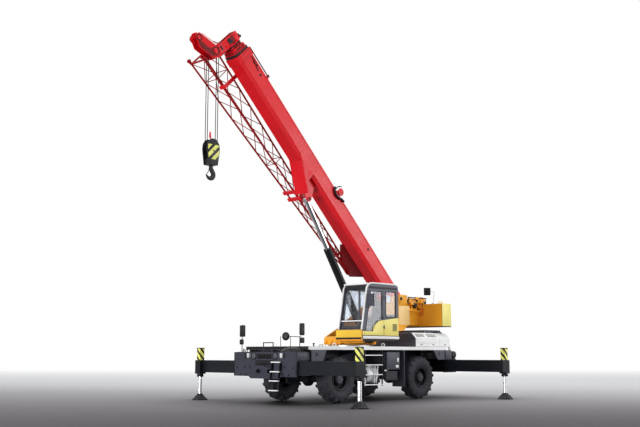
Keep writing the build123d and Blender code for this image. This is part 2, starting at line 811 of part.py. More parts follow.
def screen_pane(low, high, thickness, sink):
    """A pane of the sloping windscreen between two heights."""
    outside = [(screen_x(z) - sink, z) for z in (low, high)]
    inside = [(x - thickness, z) for x, z in reversed(outside)]
    return side_profile(outside + inside, (CAB_RIGHT + 70, CAB_LEFT - 70))


def cab_shell():
    """The hollow cab with its windows and doorway cut, and the hinge lugs."""
    shell = side_profile(cab_outline(0), (CAB_RIGHT, CAB_LEFT))
    shell -= side_profile(cab_outline(CAB_WALL), (CAB_RIGHT + CAB_WALL, CAB_LEFT - CAB_WALL))
    for low, high in SCREEN_PANES:
        shell -= screen_pane(low, high, CAB_WALL * 3, -20)
    left_wall = (CAB_LEFT - CAB_WALL, CAB_LEFT)
    right_wall = (CAB_RIGHT, CAB_RIGHT + CAB_WALL)
    shell -= side_profile(door_outline(DOOR_GAP), left_wall)
    shell -= side_profile(REAR_PANE, left_wall)
    for pane in RIGHT_PANES:
        shell -= side_profile(pane, right_wall)
    shell -= block((CAB_REAR, CAB_REAR + CAB_WALL), (500, 1350), (2900, 3650))
    hinge_y = CAB_LEFT + HINGE_OUT
    for z in (2450, 3450):
        for low in (z - 62, z + 42):
            shell += bar((HINGE_X, hinge_y, low), (HINGE_X, hinge_y, low + 20), HINGE_RADIUS)
            shell += block((HINGE_X - 20, HINGE_X), (CAB_LEFT - 1, hinge_y), (low, low + 20))
        shell += bar((HINGE_X, hinge_y, z - 62), (HINGE_X, hinge_y, z + 62), HINGE_PIN)
    return shell


def cab_glass():
    """The fixed panes, each in its own opening."""
    found = [screen_pane(low, high, GLASS, 16) for low, high in SCREEN_PANES]
    middle = CAB_LEFT - CAB_WALL / 2
    found.append(side_profile(REAR_PANE, (middle, middle + GLASS)))
    middle = CAB_RIGHT + CAB_WALL / 2
    for pane in RIGHT_PANES:
        found.append(side_profile(pane, (middle - GLASS, middle)))
    found.append(block((CAB_REAR + 16, CAB_REAR + 24), (500, 1350), (2900, 3650)))
    return found


def door_window(grow):
    """The door's window outline, (X, Z)."""
    inset = DOOR_FRAME - grow
    return (
        (DOOR_REAR + inset, 2700 - grow),
        (DOOR_REAR + inset, DOOR_TOP - inset),
        (DOOR_FRONT_HIGH - inset, DOOR_TOP - inset),
        (DOOR_FRONT_LOW - inset, SILL_HEIGHT + 100),
        (DOOR_FRONT_LOW - inset, DOOR_BOTTOM + inset),
        (420, DOOR_BOTTOM + inset),
        (330, 2520 - grow),
        (180, 2640 - grow),
    )


def cab_door():
    """The door, as thick as the cab's wall, with its hinge barrels."""
    door = side_profile(door_outline(0), (CAB_LEFT - CAB_WALL, CAB_LEFT))
    door -= side_profile(door_window(0), (CAB_LEFT - CAB_WALL, CAB_LEFT))
    hinge_y = CAB_LEFT + HINGE_OUT
    for z in (2450, 3450):
        door += bar((HINGE_X, hinge_y, z - 41), (HINGE_X, hinge_y, z + 41), HINGE_RADIUS)
        door += block((HINGE_X, DOOR_REAR + 30), (CAB_LEFT, CAB_LEFT + 10), (z - 41, z + 41))
        door -= bar((HINGE_X, hinge_y, z - 42), (HINGE_X, hinge_y, z + 42), HINGE_PIN + PIN_GAP)
    return door


def door_glass():
    """The door's pane."""
    middle = CAB_LEFT - CAB_WALL / 2
    return side_profile(door_window(0), (middle, middle + GLASS))


def cab_interior():
    """The seat on its pedestal with armrests, and the steering column with its wheel."""
    floor = CAB_FLOOR + CAB_WALL
    seat = block((-350, 50), (750, 1100), (floor, floor + 250))
    seat += block((-420, 130), (680, 1170), (floor + 250, floor + 400))
    back = ((-420, floor + 380), (-300, floor + 380), (-400, floor + 1150), (-520, floor + 1150))
    seat += side_profile(back, (700, 1150))
    for y in ((600, 680), (1170, 1250)):
        seat += block((-300, 150), y, (floor + 300, floor + 600))
    column = block((450, 590), (855, 995), (floor, floor + 60))
    column += bar((520, 925, floor + 40), (420, 925, floor + 620), 40)
    column += bar((430, 925, floor + 600), (400, 925, floor + 640), 190)
    return seat, column


# ---------------------------------------------------------------- boom, along its own axis
BOOM = Plane(
    origin=(FOOT_X, 0, FOOT_Z),
    x_dir=(math.cos(math.radians(LUFF_ANGLE)), 0, math.sin(math.radians(LUFF_ANGLE))),
    z_dir=(-math.sin(math.radians(LUFF_ANGLE)), 0, math.cos(math.radians(LUFF_ANGLE))),
)


def section(level, inset):
    """A boom section's outline, (Y, Z), moved in evenly: flat roof, upright sides and sloping keel."""
    shrink = level * SECTION_STEP + inset
    slope = math.hypot(BOOM_CUT_WIDTH, BOOM_CUT_HEIGHT)
    half = BASE_HALF_WIDTH - shrink
    roof, keel = BASE_ROOF - shrink, BASE_KEEL + shrink
    crease = BASE_KEEL + BOOM_CUT_HEIGHT + shrink * (slope - BOOM_CUT_HEIGHT) / BOOM_CUT_WIDTH
    keel_half = BASE_HALF_WIDTH - BOOM_CUT_WIDTH - shrink * (slope - BOOM_CUT_WIDTH) / BOOM_CUT_HEIGHT
    return (
        (-half, roof),
        (half, roof),
        (half, crease),
        (keel_half, keel),
        (-keel_half, keel),
        (-half, crease),
    )


def tube(level, start, end):
    """A boom section: a bevelled box tube."""
    solid = end_profile(section(level, 0), (start, end))
    return solid - end_profile(section(level, BOOM_WALL), (start - 1, end + 1))


def collar(level, start, end):
    """The raised band round a section's mouth, with wear pads for the next section inside it."""
    band = end_profile(section(level, -COLLAR_RISE), (start, end))
    gap = SECTION_STEP - PAD_GAP
    return band - end_profile(section(level, gap), (start - 1, end + 1))


def boom_section(level):
    """One of the three outer sections, as it lies retracted in the one outside it."""
    start = SECTION_TAIL + level * TAIL_STEP
    end = BASE_FRONT + level * COLLAR_LENGTH
    body = tube(level, start, end) + collar(level, end - COLLAR_LENGTH + 6, end)
    return body


def boom_base():
    """The base section with its foot bosses, and the wedge under it that takes the lift cylinder's eye."""
    body = tube(0, BOOM_TAIL, BASE_FRONT)
    body += collar(0, BASE_FRONT - 260, BASE_FRONT)
    boss_out = SIDE_PLATE_IN - RUNNING_GAP
    for way in SIDES.values():
        inner = way * (BASE_HALF_WIDTH - BOOM_WALL)
        body += bar((0, inner, 0), (0, way * boss_out, 0), 130)
    body -= bar((0, -boss_out, 0), (0, boss_out, 0), FOOT_PIN_RADIUS + PIN_GAP)
    (front, top), (_, low) = BRACKET_SIDE[0], BRACKET_SIDE[-1]
    toe = BRACKET_SIDE[-1][0]
    wedge = side_profile(BRACKET_SIDE, (-BASE_HALF_WIDTH, BASE_HALF_WIDTH))
    inside = BASE_HALF_WIDTH - BRACKET_PLATE
    open_rear = (
        (front - 2 * BRACKET_PLATE, top),
        (LIFT_EYE[0] - 500, top),
        (LIFT_EYE[0] - 500, low),
        (toe - 2 * BRACKET_PLATE, low),
    )
    wedge -= side_profile(open_rear, (-inside, inside))
    body += wedge - end_profile(section(0, BOOM_WALL / 2), (toe, front))
    eye_s, eye_z = LIFT_EYE
    gap = LIFT_EYE_HALF + RUNNING_GAP
    for way in SIDES.values():
        y = sorted((way * gap, way * (gap + BRACKET_PLATE)))
        body += side_profile(BRACKET_LUG, y)
        out = sorted((way * gap, way * (gap + BRACKET_PLATE + 15)))
        body += bar((eye_s, out[0], eye_z), (eye_s, out[1], eye_z), LIFT_EYE_RADIUS)
    return body


def boom_head():
    """The innermost section with the head's side plates, main sheaves and nose sheave."""
    level = 3
    end = BASE_FRONT + level * COLLAR_LENGTH
    body = tube(level, SECTION_TAIL + level * TAIL_STEP, end)
    keel_s, keel_z = MAIN_SHEAVE
    nose_s, nose_z = NOSE_SHEAVE
    outline = (
        (end, 230),
        (end + 290, 230),
        (end + 290, -600),
        (end + 350, -800),
        (nose_s + 120, nose_z + 120),
        (nose_s + 90, nose_z - 60),
        (nose_s - 250, nose_z - 170),
        (keel_s - 150, keel_z - 210),
        (keel_s - 250, keel_z + 90),
        (end, BASE_KEEL + level * SECTION_STEP),
    )
    for way in SIDES.values():
        y = sorted((way * HEAD_HALF_WIDTH, way * (HEAD_HALF_WIDTH + HEAD_PLATE)))
        body += side_profile(outline, y)
    wide = HEAD_HALF_WIDTH
    body += end_profile(section(level, 0), (end, end + 20))
    body += block((end, end + 290), (-wide, wide), (200, 230))
    outer = wide + HEAD_PLATE
    body += bar((keel_s, -outer, keel_z), (keel_s, outer, keel_z), 30)
    body += bar((nose_s, -outer, nose_z), (nose_s, outer, nose_z), 30)
    for y in (-SHEAVE_SPACING / 2, SHEAVE_SPACING / 2):
        body += sheave((keel_s, y, keel_z), SHEAVE_RADIUS)
    body += sheave((nose_s, 0, nose_z), NOSE_SHEAVE_RADIUS)
    return body


def lattice_jib():
    """The stowed jib: four chords that close towards the tip, laced on all four faces."""
    def corner(share, side, level):
        values = []
        for key, at in (("s", None), ("y", side), ("z", level)):
            butt = JIB_BUTT[key] if at is None else JIB_BUTT[key][at]
            tip = JIB_TIP[key] if at is None else JIB_TIP[key][at]
            values.append(butt + share * (tip - butt))
        return tuple(values)

    corners = ((0, 0), (1, 0), (1, 1), (0, 1))
    bars = [square_bar(corner(0, *c), corner(1, *c), JIB_CHORD) for c in corners]
    faces = list(zip(corners, corners[1:] + corners[:1]))
    for step in range(JIB_BAYS):
        here, there = step / JIB_BAYS, (step + 1) / JIB_BAYS
        for a, b in faces:
            start, end = (a, b) if step % 2 else (b, a)
            bars.append(square_bar(corner(here, *start), corner(there, *end), JIB_LACE))
    for share in (0, 1):
        for a, b in faces:
            bars.append(square_bar(corner(share, *a), corner(share, *b), JIB_CHORD))
    low, high = JIB_TIP["z"]
    y = (JIB_TIP["y"][0] + JIB_TIP["y"][1]) / 2
    bars.append(side_profile(
        ((JIB_TIP["s"], high), (JIB_NOSE, high), (JIB_NOSE, high - 90), (JIB_TIP["s"], low)), (y - 90, y + 90)
    ))
    for way in (0, 1):
        bars.append(square_bar(corner(1, way, 1), (JIB_TIP["s"] - 400, y, high - 40), JIB_CHORD))
    return bars[0] + bars[1:]


def jib_brackets():
    """The brackets on the boom's right side that carry the stowed jib: a pair of beams, and a short one."""
    length = JIB_BUTT["s"] - JIB_TIP["s"]
    fall = (JIB_TIP["z"][0] - JIB_BUTT["z"][0]) / length
    chord_half = JIB_CHORD * math.hypot(1, fall) + PAD_GAP
    found = []
    wall = -BASE_HALF_WIDTH
    for s, spread, span in JIB_SEATS:
        share = (JIB_BUTT["s"] - s) / length
        far, near = [butt + share * (tip - butt) for butt, tip in zip(JIB_BUTT["y"], JIB_TIP["y"])]
        reach = near + span * (far - near) - JIB_CHORD
        for middle in sorted({s - spread, s + spread}):
            ends = (middle - JIB_SEAT_HALF, middle + JIB_SEAT_HALF)
            seat = [(x, JIB_BUTT["z"][0] + fall * (JIB_BUTT["s"] - x) - chord_half) for x in ends]
            low = seat[1][1] - 80
            hanger = block(ends, (wall - 40, wall), (low, -40))
            hanger += side_profile(seat + [(ends[1], low), (ends[0], low)], (reach, wall - 40))
            found.append(hanger)
    return found


def lift_line():
    """The lift cylinder's foot and eye, and the unit vector between them."""
    foot = Vector(LIFT_FOOT_X, 0, LIFT_FOOT_Z)
    eye = BOOM.from_local_coords(Vector(LIFT_EYE[0], 0, LIFT_EYE[1]))
    return foot, eye, (eye - foot).normalized()


def lift_barrel():
    """The lift cylinder's barrel, with its foot eye and gland."""
    foot, _, way = lift_line()
    gland = ROD_RADIUS + PIN_GAP
    outline = (
        (0, 150),
        (0, 60),
        (BARREL_RADIUS - 30, 60),
        (BARREL_RADIUS, 100),
        (BARREL_RADIUS, BARREL_LENGTH),
        (gland, BARREL_LENGTH),
        (gland, BARREL_LENGTH - 150),
        (BARREL_BORE, BARREL_LENGTH - 150),
        (BARREL_BORE, 150),
    )
    barrel = turned(outline, tuple(foot), tuple(way))
    barrel += bar((foot.X, -90, foot.Z), (foot.X, 90, foot.Z), 120)
    return barrel - bar((foot.X, -91, foot.Z), (foot.X, 91, foot.Z), LIFT_PIN_RADIUS + PIN_GAP)


def lift_rod():
    """The lift cylinder's rod, with its piston and its eye."""
    _, eye, way = lift_line()
    start = eye - way * ROD_LENGTH
    rod = bar(tuple(start), tuple(eye - way * 60), ROD_RADIUS)
    rod += bar(tuple(start), tuple(start + way * 120), BARREL_BORE - PIN_GAP)
    return rod + bar((eye.X, -LIFT_EYE_HALF, eye.Z), (eye.X, LIFT_EYE_HALF, eye.Z), LIFT_EYE_RADIUS)


# ---------------------------------------------------------------- hook
def falls():
    """Where the rope falls run: the main sheaves' axis and each fall's (X, Y)."""
    axis = BOOM.from_local_coords(Vector(MAIN_SHEAVE[0], 0, MAIN_SHEAVE[1]))
    out = SHEAVE_RADIUS - GROOVE_DEPTH + ROPE_RADIUS + PIN_GAP
    places = [(axis.X + a * out, b * SHEAVE_SPACING / 2) for a in (-1, 1) for b in (-1, 1)]
    return axis, places


def hoist_ropes():
    """Four falls of rope from the main sheaves to the hook block's sheaves."""
    axis, places = falls()
    return [bar((x, y, BLOCK_SHEAVE_Z), (x, y, axis.Z), ROPE_RADIUS) for x, y in places]


def hook_block():
    """The hook block: cheeks, two sheaves and the cross head that carries the hook."""
    axis, _ = falls()
    x, half = axis.X, BLOCK_HALF_WIDTH
    outline = [
        (x - half + 70, BLOCK_BOTTOM),
        (x + half - 70, BLOCK_BOTTOM),
        (x + half, BLOCK_TOP - 330),
        (x + half - 20, BLOCK_TOP - 170),
        (x + half - 100, BLOCK_TOP - 50),
        (x + 60, BLOCK_TOP),
        (x - 60, BLOCK_TOP),
        (x - half + 100, BLOCK_TOP - 50),
        (x - half + 20, BLOCK_TOP - 170),
        (x - half, BLOCK_TOP - 330),
    ]
    inner = CHEEK_OUT - CHEEK_THICKNESS
    block_body = block((x - 150, x + 150), (-inner, inner), (BLOCK_BOTTOM, BLOCK_BOTTOM + 180))
    for way in SIDES.values():
        block_body += side_profile(outline, sorted((way * inner, way * CHEEK_OUT)))
    block_body += bar((x, -CHEEK_OUT, BLOCK_SHEAVE_Z), (x, CHEEK_OUT, BLOCK_SHEAVE_Z), 35)
    for y in (-SHEAVE_SPACING / 2, SHEAVE_SPACING / 2):
        block_body += sheave((x, y, BLOCK_SHEAVE_Z), SHEAVE_RADIUS)
    return block_body - bar((x, 0, BLOCK_BOTTOM), (x, 0, BLOCK_BOTTOM + 130), 40 + PIN_GAP)


def hook():
    """The single hook: shank, and a bowl that narrows to the point."""
    axis, _ = falls()
    x = axis.X
    centre_z = HOOK_BOTTOM + HOOK_SECTION + HOOK_RADIUS
    rings = []
    for angle, radius in HOOK_SHAPE:
        cos, sin = math.cos(math.radians(angle)), math.sin(math.radians(angle))
        ring = Plane(origin=(x + HOOK_RADIUS * cos, 0, centre_z + HOOK_RADIUS * sin), z_dir=(-sin, 0, cos))
        rings.append(ring.location * Circle(radius))
    bowl = loft(rings)
    shank = bar((x, 0, centre_z + HOOK_RADIUS - 30), (x, 0, BLOCK_BOTTOM + 125), 40)
    return bowl + shank


# ---------------------------------------------------------------- write every piece
save("chassis", chassis())
save("deck", deck())
save("side_skirts", *side_skirts())
hood, muffler = engine_hood()
save("engine_hood", hood)
save("muffler_cover", muffler)
save("engine_block", engine_block())
save("front_bumper", front_bumper())
save("lamps", *lamps(), *rear_lamps())
save("lockers", *side_lockers(), *rear_lockers())
save("steps_and_rails", left_ladder(), front_steps(), handrail())
save("road_mirrors", *mirrors())
save("slewing_ring", slewing_ring())
for end, jack_x in JACKS.items():
    save(f"outrigger_casing_{end}", casing(jack_x))
    for side, way in SIDES.items():
        save(f"outrigger_beam_{end}_{side}", beam(jack_x, way))
        save(f"outrigger_jack_{end}_{side}", jack(jack_x, way))
lugged_tyre = tyre()
for end, axle_x in AXLES.items():
    save(f"axle_{end}", axle(axle_x))
    for side, way in SIDES.items():
        save(f"knuckle_{end}_{side}", knuckle(axle_x, way))
        save(f"rim_{end}_{side}", rim(axle_x, way))
        wheel = Plane((axle_x, way * WHEEL_Y, TYRE_RADIUS), z_dir=(0, way, 0))
        save(f"tyre_{end}_{side}", wheel.location * lugged_tyre)
save("turntable", turntable())
save("counterweight", counterweight())
save("winches", *winches())
save("cab_shell", cab_shell())
save("cab_glass", *cab_glass())
save("cab_door", cab_door())
save("cab_door_glass", door_glass())
save("cab_interior", *cab_interior())
place = BOOM.location
save("boom_base", place * boom_base())
save("boom_section_2", place * boom_section(1))
save("boom_section_3", place * boom_section(2))
save("boom_head", place * boom_head())
save("lattice_jib", place * lattice_jib())
save("jib_brackets", *[place * bracket for bracket in jib_brackets()])
save("lift_barrel", lift_barrel())
save("lift_rod", lift_rod())
save("hoist_ropes", *hoist_ropes())
save("hook_block", hook_block())
save("hook", hook())
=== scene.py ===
"""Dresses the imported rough-terrain crane: camera, stage, finishes and the pieces the solids lack.

Metres, in the model's own frame: +X forward, +Y to the left, +Z up, the origin on the ground
under the middle of the slewing ring. Pieces on the boom are laid out in the boom's own frame,
whose X runs from the foot pin towards the head, and Z points away from the roof.
"""

import json
import math
from functools import cache

import bmesh
import bpy
from bpy.props import FloatProperty, FloatVectorProperty, IntProperty, PointerProperty
from mathutils import Matrix, Vector


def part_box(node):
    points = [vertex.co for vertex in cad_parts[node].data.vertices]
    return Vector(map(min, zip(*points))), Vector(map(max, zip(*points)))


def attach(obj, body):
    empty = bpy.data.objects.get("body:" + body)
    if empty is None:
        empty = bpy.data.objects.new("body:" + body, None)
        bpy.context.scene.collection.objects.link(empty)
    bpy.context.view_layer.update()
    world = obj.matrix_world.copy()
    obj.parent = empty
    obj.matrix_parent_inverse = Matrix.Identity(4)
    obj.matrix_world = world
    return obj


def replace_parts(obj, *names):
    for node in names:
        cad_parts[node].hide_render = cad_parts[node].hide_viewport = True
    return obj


bl_info = {
    "name": "Rough-terrain crane dresser",
    "version": (1, 0, 0),
    "blender": (4, 5, 0),
    "location": "View3D > Sidebar > Crane",
    "description": "Adds finishes, trim and a stage to a packed rough-terrain crane",
    "category": "Object",
}

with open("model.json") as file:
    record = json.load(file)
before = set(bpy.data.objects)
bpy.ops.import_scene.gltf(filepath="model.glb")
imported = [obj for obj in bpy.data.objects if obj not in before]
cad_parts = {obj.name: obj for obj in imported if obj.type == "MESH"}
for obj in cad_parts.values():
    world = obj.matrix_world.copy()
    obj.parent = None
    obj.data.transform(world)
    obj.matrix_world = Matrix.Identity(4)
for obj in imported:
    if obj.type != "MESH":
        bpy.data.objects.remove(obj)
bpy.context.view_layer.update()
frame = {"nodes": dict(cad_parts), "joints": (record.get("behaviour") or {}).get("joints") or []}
JOINTS = {joint["name"]: joint for joint in frame["joints"]}
SIDES = {"left": 1, "right": -1}
ENDS = ("front", "rear")
CORNERS = [(end, side) for end in ENDS for side in SIDES]

FOOT = Vector(JOINTS["boom_luff"]["pos_m"])
REACH = Vector(JOINTS["boom_extend"]["axis"])
RISE = REACH.cross(Vector((0, 1, 0)))
SILL, SCREEN_TOP = 2.35, 3.85
CAB_FRONT, ROOF_FRONT = 1.017, 0.720
CAB_RIGHT, CAB_LEFT = 0.40, 1.45
SCREEN_RIGHT, SCREEN_LEFT = 0.47, 1.38
REAR_PANE = ((-0.72, 2.80), (-0.20, 2.80), (-0.20, 3.66), (-0.72, 3.66))
DOOR_PANE = (
    (0.0, 2.70), (0.0, 3.645), (0.58, 3.645), (0.83, 2.45),
    (0.83, 2.312), (0.50, 2.312), (0.33, 2.58), (0.18, 2.66),
)
WINCHES = ((-3.13, 3.33), (-3.70, 3.40))
SIDE_PLATE = 0.38  # half the width over the turntable's side plates
RING_TOP, DECK, FLOAT_TOP = 1.93, 1.80, 0.216
FRONT_PLATE = 4.05
TANK = Vector((0, 1.08, 0.875))  # on the tank's axis

# The boom's own frame: stations along it from the foot pin, and heights from its axis.
HALF, ROOF, KEEL = 0.30, 0.19, -0.435  # of the base section
REEL = 4.75
LIFT_EYE = (5.45, -0.95)
CHEEK = 0.150  # half the width over the head's side plates
MAIN_SHEAVE, NOSE_SHEAVE = Vector((11.33, 0, -0.94)), Vector((12.0, 0, -1.23))
MOUTH_BANDS = ((10.74, 10.845), (10.885, 10.91), (10.985, 11.005), (11.05, 11.10))

BOOM = Matrix((
    (REACH.x, 0, RISE.x, FOOT.x),
    (REACH.y, 1, RISE.y, FOOT.y),
    (REACH.z, 0, RISE.z, FOOT.z),
    (0, 0, 0, 1),
))


# ---------------------------------------------------------------- settings
class CraneColours(bpy.types.PropertyGroup):
    """Base colours of the crane's finishes."""

    def colour(name, text, value):
        return FloatVectorProperty(
            name=name, description=text, subtype="COLOR", size=3, min=0, max=1, default=value,
        )

    boom: colour("Boom red", "Gloss paint of the boom and jib", (0.76, 0.004, 0.012))
    body: colour("Body yellow", "Gloss paint of the turntable and counterweight", (0.93, 0.42, 0.03))
    panel: colour("Panel yellow", "Paint of the cab's lower panels", (0.93, 0.80, 0.21))
    # Pale yellow is painted light: the brighter look of the counterweight's lit end, put into its colour.
    pale: colour("Pale yellow", "Paint of the counterweight's ends", (0.90, 0.80, 0.24))
    sign: colour("Sign yellow", "Paint of the blank plate before the cab", (0.92, 0.58, 0.05))
    # Peach is painted highlight: the light reflected off the plates beside the boom's foot, put into their
    # colour.
    peach: colour("Peach", "Paint of the plates beside the boom's foot", (0.98, 0.70, 0.30))
    deck: colour("Deck white", "Paint of the deck and hood", (0.90, 0.90, 0.89))
    chassis: colour("Chassis slate", "Paint of the chassis and front plate", (0.038, 0.039, 0.056))
    beam: colour("Beam black", "Paint of the outriggers and axles", (0.010, 0.011, 0.015))
    skirt: colour("Skirt grey", "Paint of the skirts and cabinets", (0.075, 0.076, 0.096))
    cab: colour("Cab grey", "Paint of the cab's frame and door", (0.080, 0.084, 0.115))
    black: colour("Black", "Paint and plastic of the small black parts", (0.008, 0.008, 0.010))
    rubber: colour("Rubber", "Tyre rubber", (0.024, 0.024, 0.030))
    warning: colour("Warning yellow", "Pale yellow of the warning stripes", (0.92, 0.90, 0.22))
    silver: colour("Silver", "Painted tubes and the tank", (0.62, 0.63, 0.65))


class CraneSizes(bpy.types.PropertyGroup):
    """Sizes of the trim that a user would change."""

    def length(name, text, value):
        return FloatProperty(name=name, description=text, default=value, unit="LENGTH")

    lugs: IntProperty(name="Lugs", description="Lugs round each side of a tyre's tread", default=16, min=8)
    lug_height: length("Lug height", "Height of the tread's lugs", 0.036)
    stripe: length("Stripe", "Pitch of the warning stripes", 0.24)
    guard: length("Guard tube", "Radius of the cab's guard tubes", 0.028)
    chord: length("Jib chord", "Radius of the jib's chords", 0.032)
    lacing: length("Jib lacing", "Radius of the jib's lacing", 0.014)
    bays: IntProperty(name="Jib bays", description="Bays of lacing along the jib", default=13, min=3)
    hose: length("Hose", "Radius of the hydraulic hoses", 0.014)


def sizes():
    return bpy.context.scene.crane_sizes


def colours():
    return bpy.context.scene.crane_colours


# ---------------------------------------------------------------- materials
class Nodes:
    """A node tree, and short calls that add and join its nodes."""

    def __init__(self, tree):
        self.tree = tree

    def add(self, kind, inputs=(), **settings):
        node = self.tree.nodes.new(kind)
        for key, value in settings.items():
            setattr(node, key, value)
        for key, value in dict(inputs).items():
            self.give(node.inputs[key], value)
        return node

    def give(self, socket, value):
        """Joins a socket to another node's, or sets its constant."""
        if isinstance(value, bpy.types.NodeSocket):
            self.tree.links.new(value, socket)
        else:
            socket.default_value = value

    def math(self, operation, first, second=0.0):
        return self.add("ShaderNodeMath", {0: first, 1: second}, operation=operation).outputs[0]

    def seen(self):
        """One for the rays that show the backdrop: from the camera, mirrored or through glass."""
        rays = self.add("ShaderNodeLightPath").outputs
        bent = self.math("MAXIMUM", rays["Is Glossy Ray"], rays["Is Transmission Ray"])
        return self.math("MAXIMUM", bent, rays["Is Camera Ray"])


class Finish(Nodes):
    """A material's nodes."""

    def __init__(self, name):
        self.material = bpy.data.materials.new(name)
        self.material.use_nodes = True
        super().__init__(self.material.node_tree)
        self.shader = self.tree.nodes["Principled BSDF"]
        self.place = self.add("ShaderNodeTexCoord").outputs["Object"]

    def noise(self, scale, detail=3.0, rough=0.5):
        fields = {"Vector": self.place, "Scale": scale, "Detail": detail, "Roughness": rough}
        return self.add("ShaderNodeTexNoise", fields).outputs["Fac"]

    def spread(self, value, low, high, start=0.3, end=0.7):
        """Maps a value between start and end to a range between low and high."""
        fields = {"Value": value, "From Min": start, "From Max": end, "To Min": low, "To Max": high}
        return self.add("ShaderNodeMapRange", fields).outputs["Result"]

    def mix(self, share, first, second):
        """Mixes two colours."""
        return self.add("ShaderNodeMix", {0: share, 6: first, 7: second}, data_type="RGBA").outputs[2]

    def mottle(self, scale, detail, first, second):
        """A patchy tone between two colours."""
        return self.mix(self.spread(self.noise(scale, detail), 0.0, 1.0), first, second)

    def split(self):
        return self.add("ShaderNodeSeparateXYZ", {0: self.place}).outputs

    def bump(self, height, strength, distance):
        fields = {"Height": height, "Strength": strength, "Distance": distance}
        return self.add("ShaderNodeBump", fields).outputs["Normal"]

    def set(self, **values):
        for key, value in values.items():
            self.give(self.shader.inputs[key.replace("_", " ")], value)
        return self.material


def rgba(colour, scale=1.0):
    return (colour[0] * scale, colour[1] * scale, colour[2] * scale, 1.0)


def painted(name, colour, rough=0.32, coat=0.1, dust=0.0, specular=0.2):
    """Sprayed paint: faint mottling, orange peel, and dust that thickens towards the ground."""
    f = Finish(name)
    mottled = f.mottle(0.9, 5, rgba(colour, 0.92), rgba(colour, 1.05))
    if dust:
        low = f.spread(f.split()[2], dust, 0.0, 0.1, 1.5)
        share = f.math("MULTIPLY", low, f.spread(f.noise(5.0, 6, 0.7), 0.2, 1.0))
        mottled = f.mix(share, mottled, (0.19, 0.18, 0.165, 1.0))
    peel = f.bump(f.noise(90.0, 2), 0.05, 0.002)
    gloss = f.spread(f.noise(2.2, 5), rough * 0.85, rough * 1.25)
    f.set(Base_Color=mottled, Roughness=gloss, Normal=peel)
    return f.set(Coat_Weight=coat, Coat_Roughness=0.12, Specular_IOR_Level=specular)


def paint(name, colour, share=1.0, **looks):
    """A painted finish in a share of one of the crane's colours, made when it is first asked for."""
    return cache(lambda: painted(name, [c * share for c in getattr(colours(), colour)], **looks))


boom_paint = paint("boom_red_paint", "boom", rough=0.34, coat=0.06, specular=0.32)
# The boom's red darkened to 0.45: a shaded copy, painted shade on the stowed jib.
jib_shaded_paint = paint("jib_red_paint", "boom", 0.45, rough=0.36, coat=0.0)
# The boom's red darkened to 0.22: a shaded copy, painted shade on the plate under the boom's foot end and on
# the head's cheeks, and the dark red of the rollers and wear-pad frames.
dark_red = paint("dark_red_paint", "boom", 0.22, rough=0.4, coat=0.0)
body_paint = paint("body_yellow_paint", "body", rough=0.34)
# Painted light for the counterweight's lit end.
painted_light_yellow = paint("pale_yellow_paint", "pale", rough=0.34)
sign_paint = paint("sign_yellow_paint", "sign")
# Painted highlight for the plates beside the boom's foot.
peach_paint = paint("peach_paint", "peach", rough=0.34)
panel_paint = paint("panel_yellow_paint", "panel", rough=0.30)
deck_paint = paint("deck_white_paint", "deck", rough=0.35)
chassis_paint = paint("chassis_slate_paint", "chassis", rough=0.42, coat=0.0, dust=0.04)
rim_paint = paint("rim_paint", "chassis", 0.35, rough=0.5, coat=0.0, dust=0.06)
beam_paint = paint("beam_black_paint", "beam", rough=0.36, coat=0.0, dust=0.01, specular=0.15)
skirt_paint = paint("skirt_grey_paint", "skirt", rough=0.40, coat=0.0, dust=0.04)
cab_paint = paint("cab_grey_paint", "cab", rough=0.36)
black_paint = paint("black_paint", "black", rough=0.38, coat=0.0)
silver_paint = paint("silver_paint", "silver", rough=0.30, coat=0.2, specular=0.6)


@cache
def machined_steel():
    """Bright steel with fine turned lines and handling marks."""
    f = Finish("machined_steel")
    marks = f.noise(3.0, 6, 0.7)
    tone = f.mix(f.spread(marks, 0, 1), (0.42, 0.43, 0.45, 1), (0.56, 0.57, 0.59, 1))
    f.set(Base_Color=tone, Roughness=f.spread(marks, 0.22, 0.38), Normal=f.bump(f.noise(160, 2), 0.06, 0.001))
    return f.set(Metallic=1.0)


@cache
def chrome():
    """Hard chrome on the cylinder rods, with a thin oily film, down to the painted floats."""
    f = Finish("hard_chrome")
    film = f.noise(4.0, 5, 0.6)
    bright = f.mix(f.spread(film, 0, 1), (0.80, 0.81, 0.83, 1), (0.93, 0.94, 0.95, 1))
    rod = f.math("GREATER_THAN", f.split()[2], FLOAT_TOP)
    f.set(Base_Color=f.mix(rod, rgba(colours().black), bright), Metallic=rod)
    return f.set(Roughness=f.spread(film, 0.17, 0.25), Specular_IOR_Level=0.2)


@cache
def cast_black():
    """Painted casting with a coarse skin."""
    f = Finish("cast_black")
    grain = f.noise(45, 4, 0.6)
    tone = f.mottle(6, 5, (0.010, 0.010, 0.012, 1), (0.022, 0.022, 0.026, 1))
    f.set(Base_Color=tone, Roughness=f.spread(grain, 0.38, 0.6), Normal=f.bump(grain, 0.25, 0.003))
    return f.set(Specular_IOR_Level=0.25)


@cache
def tyre_rubber():
    """Black rubber, dusty on the tread and scuffed on the walls."""
    f = Finish("tyre_rubber")
    scuff = f.noise(14, 6, 0.65)
    tone = f.mix(f.spread(scuff, 0, 1), rgba(colours().rubber, 0.8), rgba(colours().rubber, 1.7))
    dusty = f.mix(f.spread(f.noise(3, 5, 0.6), 0.0, 0.22, 0.45, 0.75), tone, (0.085, 0.082, 0.085, 1))
    f.set(Base_Color=dusty, Roughness=f.spread(scuff, 0.55, 0.8), Normal=f.bump(scuff, 0.2, 0.002))
    return f.set(Specular_IOR_Level=0.2)


@cache
def black_plastic():
    """Moulded black plastic with a fine grain."""
    f = Finish("black_plastic")
    grain = f.noise(220, 2)
    tone = f.mix(f.noise(3, 3), rgba(colours().black, 0.9), rgba(colours().black, 1.9))
    f.set(Base_Color=tone, Roughness=f.spread(grain, 0.42, 0.55), Normal=f.bump(grain, 0.15, 0.001))
    return f.set(Specular_IOR_Level=0.25)


